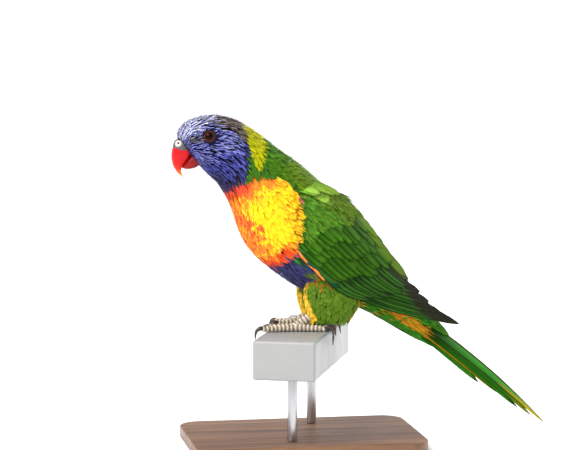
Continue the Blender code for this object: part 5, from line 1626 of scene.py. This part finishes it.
def end_tree(tree, geometry, material, out):
    for kind, inputs in (
        ("GeometryNodeRealizeInstances", {}),
        ("GeometryNodeSetMaterial", {"Material": material}),
        ("GeometryNodeSetShadeSmooth", {}),
    ):
        geometry = node(tree, kind, {"Geometry": geometry, **inputs}).outputs["Geometry"]
    tree.links.new(geometry, out.inputs["Geometry"])


def toe_tree(material):
    """Lays overlapping scutes along each path, sized by the path's radius."""
    tree, given, out = new_tree("toe scutes", (
        ("Scute Spacing", 0.0023, "NodeSocketFloat"), ("Scute Thickness", 0.60, "NodeSocketFloat"),
        ("Scute Width", 1.14, "NodeSocketFloat"),
    ))
    curve = node(tree, "GeometryNodeMeshToCurve", {"Mesh": given.outputs["Geometry"]}).outputs["Curve"]
    radius = node(tree, "GeometryNodeInputNamedAttribute", {"Name": "radius"}, data_type="FLOAT")
    radius = radius.outputs["Attribute"]
    level = node(tree, "GeometryNodeSetCurveNormal", {"Curve": curve}, mode="Z_UP").outputs["Curve"]
    inputs = {"Curve": level, "Length": given.outputs["Scute Spacing"]}
    spaced = node(tree, "GeometryNodeResampleCurve", inputs, mode="LENGTH").outputs["Curve"]
    tangent = node(tree, "GeometryNodeInputTangent").outputs["Tangent"]
    aim = node(tree, "FunctionNodeAlignRotationToVector", {"Vector": tangent}, axis="X").outputs["Rotation"]
    inputs = {"Segments": 16, "Rings": 10, "Radius": 1.0}
    bead = node(tree, "GeometryNodeMeshUVSphere", inputs).outputs["Mesh"]
    across = product(tree, radius, given.outputs["Scute Width"])
    thick = product(tree, radius, given.outputs["Scute Thickness"])
    size = node(tree, "ShaderNodeCombineXYZ", {"X": thick, "Y": across, "Z": across}).outputs["Vector"]
    inputs = {"Points": spaced, "Instance": bead, "Rotation": aim, "Scale": size}
    scutes = node(tree, "GeometryNodeInstanceOnPoints", inputs).outputs["Instances"]
    end_tree(tree, scutes, material, out)
    return tree


def bead_tree(material):
    """Sets small granules along a closed path, each a little different from the next."""
    tree, given, out = new_tree("lid granules", (
        ("Granule Count", 34, "NodeSocketInt"), ("Granule Radius", 0.00032, "NodeSocketFloat"),
        ("Variation", 0.22, "NodeSocketFloat"), ("Seed", 7, "NodeSocketInt"),
    ))
    curve = node(tree, "GeometryNodeMeshToCurve", {"Mesh": given.outputs["Geometry"]}).outputs["Curve"]
    inputs = {"Curve": curve, "Count": given.outputs["Granule Count"]}
    spaced = node(tree, "GeometryNodeResampleCurve", inputs).outputs["Curve"]
    least = node(tree, "ShaderNodeMath", {0: 1.0, 1: given.outputs["Variation"]}, operation="SUBTRACT")
    inputs = {2: least.outputs["Value"], 3: 1.0, "Seed": given.outputs["Seed"]}
    share = node(tree, "FunctionNodeRandomValue", inputs, data_type="FLOAT").outputs[1]
    size = product(tree, share, given.outputs["Granule Radius"])
    bead = node(tree, "GeometryNodeMeshIcoSphere", {"Radius": 1.0, "Subdivisions": 2}).outputs["Mesh"]
    inputs = {"Points": spaced, "Instance": bead, "Scale": size}
    beads = node(tree, "GeometryNodeInstanceOnPoints", inputs).outputs["Instances"]
    end_tree(tree, beads, material, out)
    return tree


def wire(name, paths, closed=False):
    """Paths as edges, each point with its radius, for a geometry tree to follow."""
    mesh = bpy.data.meshes.new(name)
    points, edges, radii = [], [], []
    for path, path_radii in paths:
        first = len(points)
        points += list(map(tuple, place(path)))
        radii += list(np.broadcast_to(path_radii, len(path)) * MM)
        edges += [(first + n, first + n + 1) for n in range(len(path) - 1)]
        if closed:
            edges.append((first + len(path) - 1, first))
    mesh.from_pydata(points, edges, [])
    mesh.attributes.new("radius", "FLOAT", "POINT").data.foreach_set("value", radii)
    return mesh


def grown(name, mesh, tree, sizes):
    """The plain mesh that a geometry tree makes from a wire, with its sizes set by socket."""
    helper = bpy.data.objects.new(name + "_path", mesh)
    bpy.context.scene.collection.objects.link(helper)
    modifier = helper.modifiers.new(tree.name, "NODES")
    modifier.node_group = tree
    sockets = {item.name: item.identifier for item in tree.interface.items_tree if item.in_out == "INPUT"}
    for label, value in sizes.items():
        modifier[sockets[label]] = value
    graph = bpy.context.evaluated_depsgraph_get()
    made = bpy.data.meshes.new_from_object(helper.evaluated_get(graph))
    made.name = name
    helper.modifiers.remove(modifier)
    bpy.data.objects.remove(helper)
    return made


# Settings a user would change

def colour_property(label, description, code):
    return bpy.props.FloatVectorProperty(
        name=label, description=description, default=linear(code), size=3, min=0.0, max=1.0, subtype="COLOR",
    )


def vane_property(label, look, where):
    return colour_property(label, "Vane colour of " + where, FEATHER_COLOURS[look][VANE])


def length_property(label, description, default, least=0.0001, most=0.05):
    return bpy.props.FloatProperty(
        name=label, description=description, default=default, min=least, max=most, precision=5, unit="LENGTH",
    )


def share_property(label, description, default, most=2.0):
    return bpy.props.FloatProperty(
        name=label, description=description, default=default, min=0.0, max=most, subtype="FACTOR",
    )


class LorikeetPlumage(bpy.types.PropertyGroup):
    """Main colours and sizes of the plumage."""

    forehead: vane_property("Forehead", "forehead", "the forehead's feathers")
    cheek: vane_property("Cheek", "cheek", "the cheeks' feathers")
    throat: vane_property("Throat", "throat", "the throat's feathers")
    collar: vane_property("Collar", "collar", "the collar")
    mantle: vane_property("Mantle", "mantle", "the upper back")
    breast_red: vane_property("Breast red", "breast_red", "the upper breast")
    breast_yellow: vane_property("Breast yellow", "breast_yellow", "the breast's sides")
    belly: vane_property("Belly", "belly", "the belly")
    thigh: vane_property("Thigh", "thigh", "the thighs")
    wing_covert: vane_property("Wing coverts", "wing_covert", "the wing coverts")
    wing_flight: vane_property("Flight feathers", "wing_flight", "the flight feathers")
    tail_green: vane_property("Tail", "tail_green", "the tail feathers")
    spacing: share_property(
        "Feather spacing", "Spacing of body feathers, as a share of the built-in one", 1.0,
    )
    unevenness: share_property("Unevenness", "How much feathers differ in brightness", 0.09, 0.5)


class LorikeetSoftParts(bpy.types.PropertyGroup):
    """Colours and sizes of bill, eyes and feet."""

    pupil: colour_property("Pupil", "Colour of the pupil", "#020202")
    iris: colour_property("Iris", "Colour of the iris ring", "#e0401c")
    foot: colour_property("Foot scales", "Colour of the feet's scales", "#f6e9d6")
    foot_gap: colour_property("Between scales", "Colour between the feet's scales", "#a2907a")
    claw: colour_property("Claws", "Colour of the claws", CLAW_COLOUR)
    lid: colour_property("Eyelid granules", "Colour of the lids' granules", LID_COLOUR)
    scute_spacing: length_property("Scute spacing", "Distance between scutes along a toe", 0.0023)
    granule_count: bpy.props.IntProperty(
        name="Lid granules", description="Granules round each eye", default=40, min=8, max=120,
    )
    granule_radius: length_property("Granule radius", "Radius of the lids' granules", 0.00030)


class LorikeetStand(bpy.types.PropertyGroup):
    """Colours of the stand and the studio."""

    rail: colour_property("Rail", "Colour of the rail's paint", "#9c9c9b")
    steel: colour_property("Rods", "Colour of the steel rods", "#c4c4c6")
    wood_light: colour_property("Wood light", "Lighter colour of the plinth's wood", "#8a6244")
    wood_dark: colour_property("Wood dark", "Darker colour of the plinth's wood", "#5a3a26")
    floor: colour_property("Floor", "Colour of the studio floor", "#f6f6f8")
    key_light: bpy.props.FloatProperty(
        name="Key light", description="Strength of the main light", default=3.0, min=0.0, max=20.0,
    )


def chosen_looks(settings):
    """The table of looks, with each look whose vane colour was changed shifted by as much."""
    looks = BUILT_IN_LOOKS.copy()
    for name in settings.__annotations__:
        if name in LOOK:
            built_in = np.maximum(BUILT_IN_LOOKS[LOOK[name], VANE], 1e-4)
            looks[LOOK[name]] *= np.array(getattr(settings, name)) / built_in
    return np.clip(looks, 0.0, 1.0)


def use_plumage(settings):
    """Takes the plumage's settings over into the table of looks, the spacing and the unevenness."""
    LOOKS[:] = chosen_looks(settings)
    PLUMAGE["spacing"], PLUMAGE["unevenness"] = settings.spacing, settings.unevenness


# Operators

# The colour of creases, painted darker as shade, as a share of the skin's own
CREASE_SHADE_SHARE = 0.4
# Slot, roughness and gloss of each coat
COAT_LOOKS = {
    "head": ("head_blue", 0.45, 0.1),
    "breast": ("breast_yellow", 0.62, 0.1),
    "belly": ("belly_green", 0.55, 0.1),
    "back": ("nape_green", 0.55, 0.1),
    "thighs": ("belly_green", 0.6, 0.08),
}


class LORIKEET_OT_skin(bpy.types.Operator):
    """Builds the skin that lies under the plumage of head, body and thighs"""

    bl_idname = "lorikeet.skin"
    bl_label = "Skin"

    def execute(self, context):
        use_plumage(context.scene.lorikeet_plumage)
        mesh = skin_mesh()
        outside_out(mesh)
        add_piece("plumage_skin", mesh, grained_material("down", **DOWN), "belly_green",
                  ("head", "neck", "torso", "rump", "thigh_left", "thigh_right"))
        return {"FINISHED"}


class LORIKEET_OT_body_feathers(bpy.types.Operator):
    """Grows the feathers of head, back, breast, belly and thighs"""

    bl_idname = "lorikeet.body_feathers"
    bl_label = "Body feathers"

    def execute(self, context):
        use_plumage(context.scene.lorikeet_plumage)
        coats = {**body_coats(), "thighs": thigh_coat()}
        for region, (slot, roughness, gloss) in COAT_LOOKS.items():
            material = feather_material("feathers_" + region, roughness, gloss)
            add_piece("coat_" + region, coats[region], material, slot)
        return {"FINISHED"}


class LORIKEET_OT_wings(bpy.types.Operator):
    """Builds both folded wings, feather by feather"""

    bl_idname = "lorikeet.wings"
    bl_label = "Wings"

    def execute(self, context):
        use_plumage(context.scene.lorikeet_plumage)
        material = feather_material("feathers_wing", 0.6, 0.04)
        for name, side in SIDES.items():
            add_piece("wing_feathers_" + name, wing_flights(side), material, "wing_green", ("wing_" + name,))
            add_piece("wing_coverts_" + name, wing_coverts(side), material, "wing_green")
        return {"FINISHED"}


class LORIKEET_OT_tail(bpy.types.Operator):
    """Builds the tail's feathers and the coverts over and under their roots"""

    bl_idname = "lorikeet.tail"
    bl_label = "Tail"

    def execute(self, context):
        use_plumage(context.scene.lorikeet_plumage)
        material = feather_material("feathers_tail", 0.6, 0.05)
        add_piece("tail_feathers", tail_vanes(), material, "tail_green", ("tail",))
        add_piece("tail_coverts", tail_coverts(), material, "tail_green")
        return {"FINISHED"}


class LORIKEET_OT_bill(bpy.types.Operator):
    """Builds both halves of the bill and the cere with its nostrils"""

    bl_idname = "lorikeet.bill"
    bl_label = "Bill"

    def execute(self, context):
        horn = horn_material("bill_horn", (260.0, 260.0, 900.0), 0.36, 0.08)
        for half, table, look in (
            ("upper", UPPER_BILL, UPPER_BILL_LOOK), ("lower", LOWER_BILL, LOWER_BILL_LOOK),
        ):
            name = half + "_bill"
            add_piece(name, bill_mesh(name, table, look), horn, "bill_red", ("bill_" + half,))
        add_piece("cere_skin", cere_mesh(), grained_material("cere", **BARE_CERE), "cere_grey", ("cere",))
        return {"FINISHED"}


class LORIKEET_OT_eyes(bpy.types.Operator):
    """Builds the eyeballs and the granulated rims of their lids"""

    bl_idname = "lorikeet.eyes"
    bl_label = "Eyes"

    def execute(self, context):
        settings = context.scene.lorikeet_soft_parts
        wet = grained_material("wet_eye", **WET_EYE)
        # The lid's creases darker: painted shade
        rim = scale_material("eyelid", settings.lid, darker(settings.lid, CREASE_SHADE_SHARE), 0.75)
        tree = bead_tree(rim)
        sizes = {"Granule Count": settings.granule_count, "Granule Radius": settings.granule_radius}
        for name, side in SIDES.items():
            eyeball = eye_mesh(side, settings.pupil, settings.iris)
            add_piece("eyeball_" + name, eyeball, wet, "eye_dark", ("eye_" + name,))
            add_piece("eyelid_" + name, eyelid_mesh(side), rim, "eye_dark")
            ring = wire("lid", [(granule_path(side), 1.0)], closed=True)
            granules = grown("lid_granules_" + name, ring, tree, sizes)
            add_piece("lid_granules_" + name, granules, rim, "eye_dark")
        return {"FINISHED"}


class LORIKEET_OT_feet(bpy.types.Operator):
    """Builds the shanks and toes, the scutes over them and the claws"""

    bl_idname = "lorikeet.feet"
    bl_label = "Feet"

    def execute(self, context):
        settings = context.scene.lorikeet_soft_parts
        # Between the scales and on the skin under them, colours darker than the scales: partly the skin's own,
        # partly painted shade in the creases
        gaps = settings.foot_gap
        scaly = scale_material("foot_scales", settings.foot, gaps, 0.6)
        crease_shaded = scale_material("foot_crease_shade", gaps, darker(gaps, CREASE_SHADE_SHARE), 0.7)
        horn = claw_material("claw_horn", settings.claw)
        tree = toe_tree(scaly)
        for name in SIDES:
            add_piece("foot_skin_" + name, foot_mesh(name), crease_shaded, "foot_grey", ("foot_" + name,))
            paths = [shank_path(name)]
            paths += [toe_path(root, end, SCUTE_PATH_STEPS) for root, end, _ in TOES[name].values()]
            sizes = {"Scute Spacing": settings.scute_spacing}
            scutes = grown("toe_scutes_" + name, wire("toes", paths), tree, sizes)
            add_piece("toe_scutes_" + name, scutes, scaly, "foot_grey")
            for toe, (root, end, line) in TOES[name].items():
                place_name = name + "_" + toe
                claw = closed_grid("claw_horn", claw_points(root, end, line), linear(CLAW_COLOUR))
                add_piece("claw_horn_" + place_name, claw, horn, "claw_brown", ("claw_" + place_name,))
        return {"FINISHED"}


class LORIKEET_OT_stand(bpy.types.Operator):
    """Builds the painted rail, the steel rods and the wooden plinth"""

    bl_idname = "lorikeet.stand"
    bl_label = "Stand"

    def execute(self, context):
        settings = context.scene.lorikeet_stand
        rail_bottom = RAIL_TOP - RAIL_SIZE[2]
        rail = rounded_board("handrail", RAIL_SIZE, rail_bottom, RAIL_ROUNDING, RAIL_ROUNDING, RAIL_TURN)
        board = rounded_board("plinth", PLINTH_SIZE, 0.0, PLINTH_CORNER, PLINTH_EDGE, 0.0)
        paint = paint_material("rail_paint", settings.rail)
        steel = steel_material("rod_steel", settings.steel)
        wood = wood_material("plinth_wood", settings.wood_light, settings.wood_dark)
        for name, mesh, material, slot, replaced in (
            ("handrail", rail, paint, "rail_paint", "stand_perch"),
            ("rod_near", rod_mesh("rod_near", -ROD_REACH), steel, "rod_steel", "stand_rod_near"),
            ("rod_far", rod_mesh("rod_far", ROD_REACH), steel, "rod_steel", "stand_rod_far"),
            ("plinth", board, wood, "base_wood", "stand_base"),
        ):
            add_piece(name, mesh, material, slot, (replaced,), STAND_SMOOTH_BELOW)
        return {"FINISHED"}


# The studio

CAMERA_PLACE, CAMERA_TURN = (-0.2759, -1.5195, 0.3051), (84.0, 0.0, -10.0)
CAMERA_LENS, CAMERA_SENSOR = 150.0, 36.0
FLOOR_SIZE, FLOOR_GLOW, FLOOR_TINT = 400.0, 0.10, (0.86, 0.86, 0.88)
WORLD_STRENGTH, HORIZON_STRENGTH, HORIZON_HEIGHT, SKY_COLOUR = 0.46, 1.0, 0.3, (0.96, 0.98, 1.0, 1.0)
KEY_FROM, KEY_SPREAD, KEY_COLOUR = (-0.60, -0.25, 0.76), 40.0, (1.0, 0.985, 0.96)
PANEL_AIM = (-0.05, 0.0, 0.15)
# Place, size and power of each panel of light
PANEL_LIGHTS = {
    "catchlight": ((-0.48, -0.78, 0.66), 0.12, 3.6),
    "rim_light": ((0.55, 0.35, 0.75), 0.5, 7.0),
}


def linked(name, data):
    """A new object of the scene."""
    made = bpy.data.objects.new(name, data)
    bpy.context.scene.collection.objects.link(made)
    return made


def studio_floor(colour):
    """A pale floor that runs far past the picture's edges and glows a little."""
    half = FLOOR_SIZE / 2
    corners = [(-half, -half, 0), (half, -half, 0), (half, half, 0), (-half, half, 0)]
    mesh = bpy.data.meshes.new("studio_floor")
    mesh.from_pydata(corners, [], [(0, 1, 2, 3)])
    material, tree, shader = new_material(
        "studio_floor", Roughness=0.9, Specular_IOR_Level=0.1, Emission_Strength=FLOOR_GLOW,
    )
    tint = noise(tree, object_space(tree), 0.6, 2.0)
    shade = mixed(tree, ranged(tree, tint, 0.0, 0.12), colour, FLOOR_TINT)
    surfaced(tree, shader, shade)
    tree.links.new(shade, shader.inputs["Emission Color"])
    mesh.materials.append(material)
    linked("studio_floor", mesh)


def studio_world():
    """A pale sky, brighter towards the horizon."""
    world = bpy.data.worlds.new("studio_world")
    world.use_nodes = True
    sky = world.node_tree
    background = sky.nodes["Background"]
    background.inputs["Color"].default_value = SKY_COLOUR
    toward = node(sky, "ShaderNodeTexCoord").outputs["Generated"]
    height = node(sky, "ShaderNodeSeparateXYZ", {"Vector": toward}).outputs["Z"]
    haze = ranged(sky, height, HORIZON_STRENGTH, WORLD_STRENGTH, 0.0, HORIZON_HEIGHT)
    sky.links.new(haze, background.inputs["Strength"])
    bpy.context.scene.world = world


def studio_lights(key_strength):
    key = bpy.data.lights.new("key_light", "SUN")
    key.energy, key.angle, key.color = key_strength, math.radians(KEY_SPREAD), KEY_COLOUR
    linked("key_light", key).rotation_euler = Vector(KEY_FROM).to_track_quat("Z", "Y").to_euler()
    for name, (at, size, power) in PANEL_LIGHTS.items():
        light = bpy.data.lights.new(name, "AREA")
        light.size, light.energy = size, power
        lamp = linked(name, light)
        lamp.location = at
        lamp.rotation_euler = (Vector(PANEL_AIM) - Vector(at)).to_track_quat("-Z", "Y").to_euler()
        lamp.visible_camera = False


def photo_camera():
    """A long lens at the photo's viewing angle."""
    camera = linked("photo_view", bpy.data.cameras.new("photo_view"))
    camera.data.lens, camera.data.sensor_width = CAMERA_LENS, CAMERA_SENSOR
    camera.location = CAMERA_PLACE
    camera.rotation_euler = [math.radians(angle) for angle in CAMERA_TURN]
    bpy.context.scene.camera = camera


class LORIKEET_OT_stage(bpy.types.Operator):
    """Sets up the pale floor, the soft light and the camera at the photo's viewing angle"""

    bl_idname = "lorikeet.stage"
    bl_label = "Studio"

    def execute(self, context):
        settings = context.scene.lorikeet_stand
        studio_floor(settings.floor)
        studio_world()
        studio_lights(settings.key_light)
        photo_camera()
        context.scene.view_settings.view_transform = "Standard"
        return {"FINISHED"}


OPERATORS = (
    LORIKEET_OT_skin, LORIKEET_OT_body_feathers, LORIKEET_OT_wings, LORIKEET_OT_tail, LORIKEET_OT_bill,
    LORIKEET_OT_eyes, LORIKEET_OT_feet, LORIKEET_OT_stand, LORIKEET_OT_stage,
)
SETTINGS = (
    ("lorikeet_plumage", LorikeetPlumage),
    ("lorikeet_soft_parts", LorikeetSoftParts),
    ("lorikeet_stand", LorikeetStand),
)


class LORIKEET_PT_panel(bpy.types.Panel):
    """Lists the bird's pieces and their settings"""

    bl_idname = "LORIKEET_PT_panel"
    bl_label = "Rainbow lorikeet"
    bl_space_type = "VIEW_3D"
    bl_region_type = "UI"
    bl_category = "Lorikeet"

    def draw(self, context):
        for operator in OPERATORS:
            self.layout.operator(operator.bl_idname, text=operator.bl_label)
        for name, group in SETTINGS:
            box = self.layout.box()
            settings = getattr(context.scene, name)
            for key in group.__annotations__:
                box.prop(settings, key)


CLASSES = (*(group for _, group in SETTINGS), *OPERATORS, LORIKEET_PT_panel)


def register():
    for each in CLASSES:
        bpy.utils.register_class(each)
    for name, group in SETTINGS:
        setattr(bpy.types.Scene, name, bpy.props.PointerProperty(type=group))


def unregister():
    for name, _ in SETTINGS:
        delattr(bpy.types.Scene, name)
    for each in reversed(CLASSES):
        bpy.utils.unregister_class(each)


def main():
    register()
    for operator in OPERATORS:
        group, name = operator.bl_idname.split(".")
        getattr(getattr(bpy.ops, group), name)()


if __name__ == "__main__":
    main()
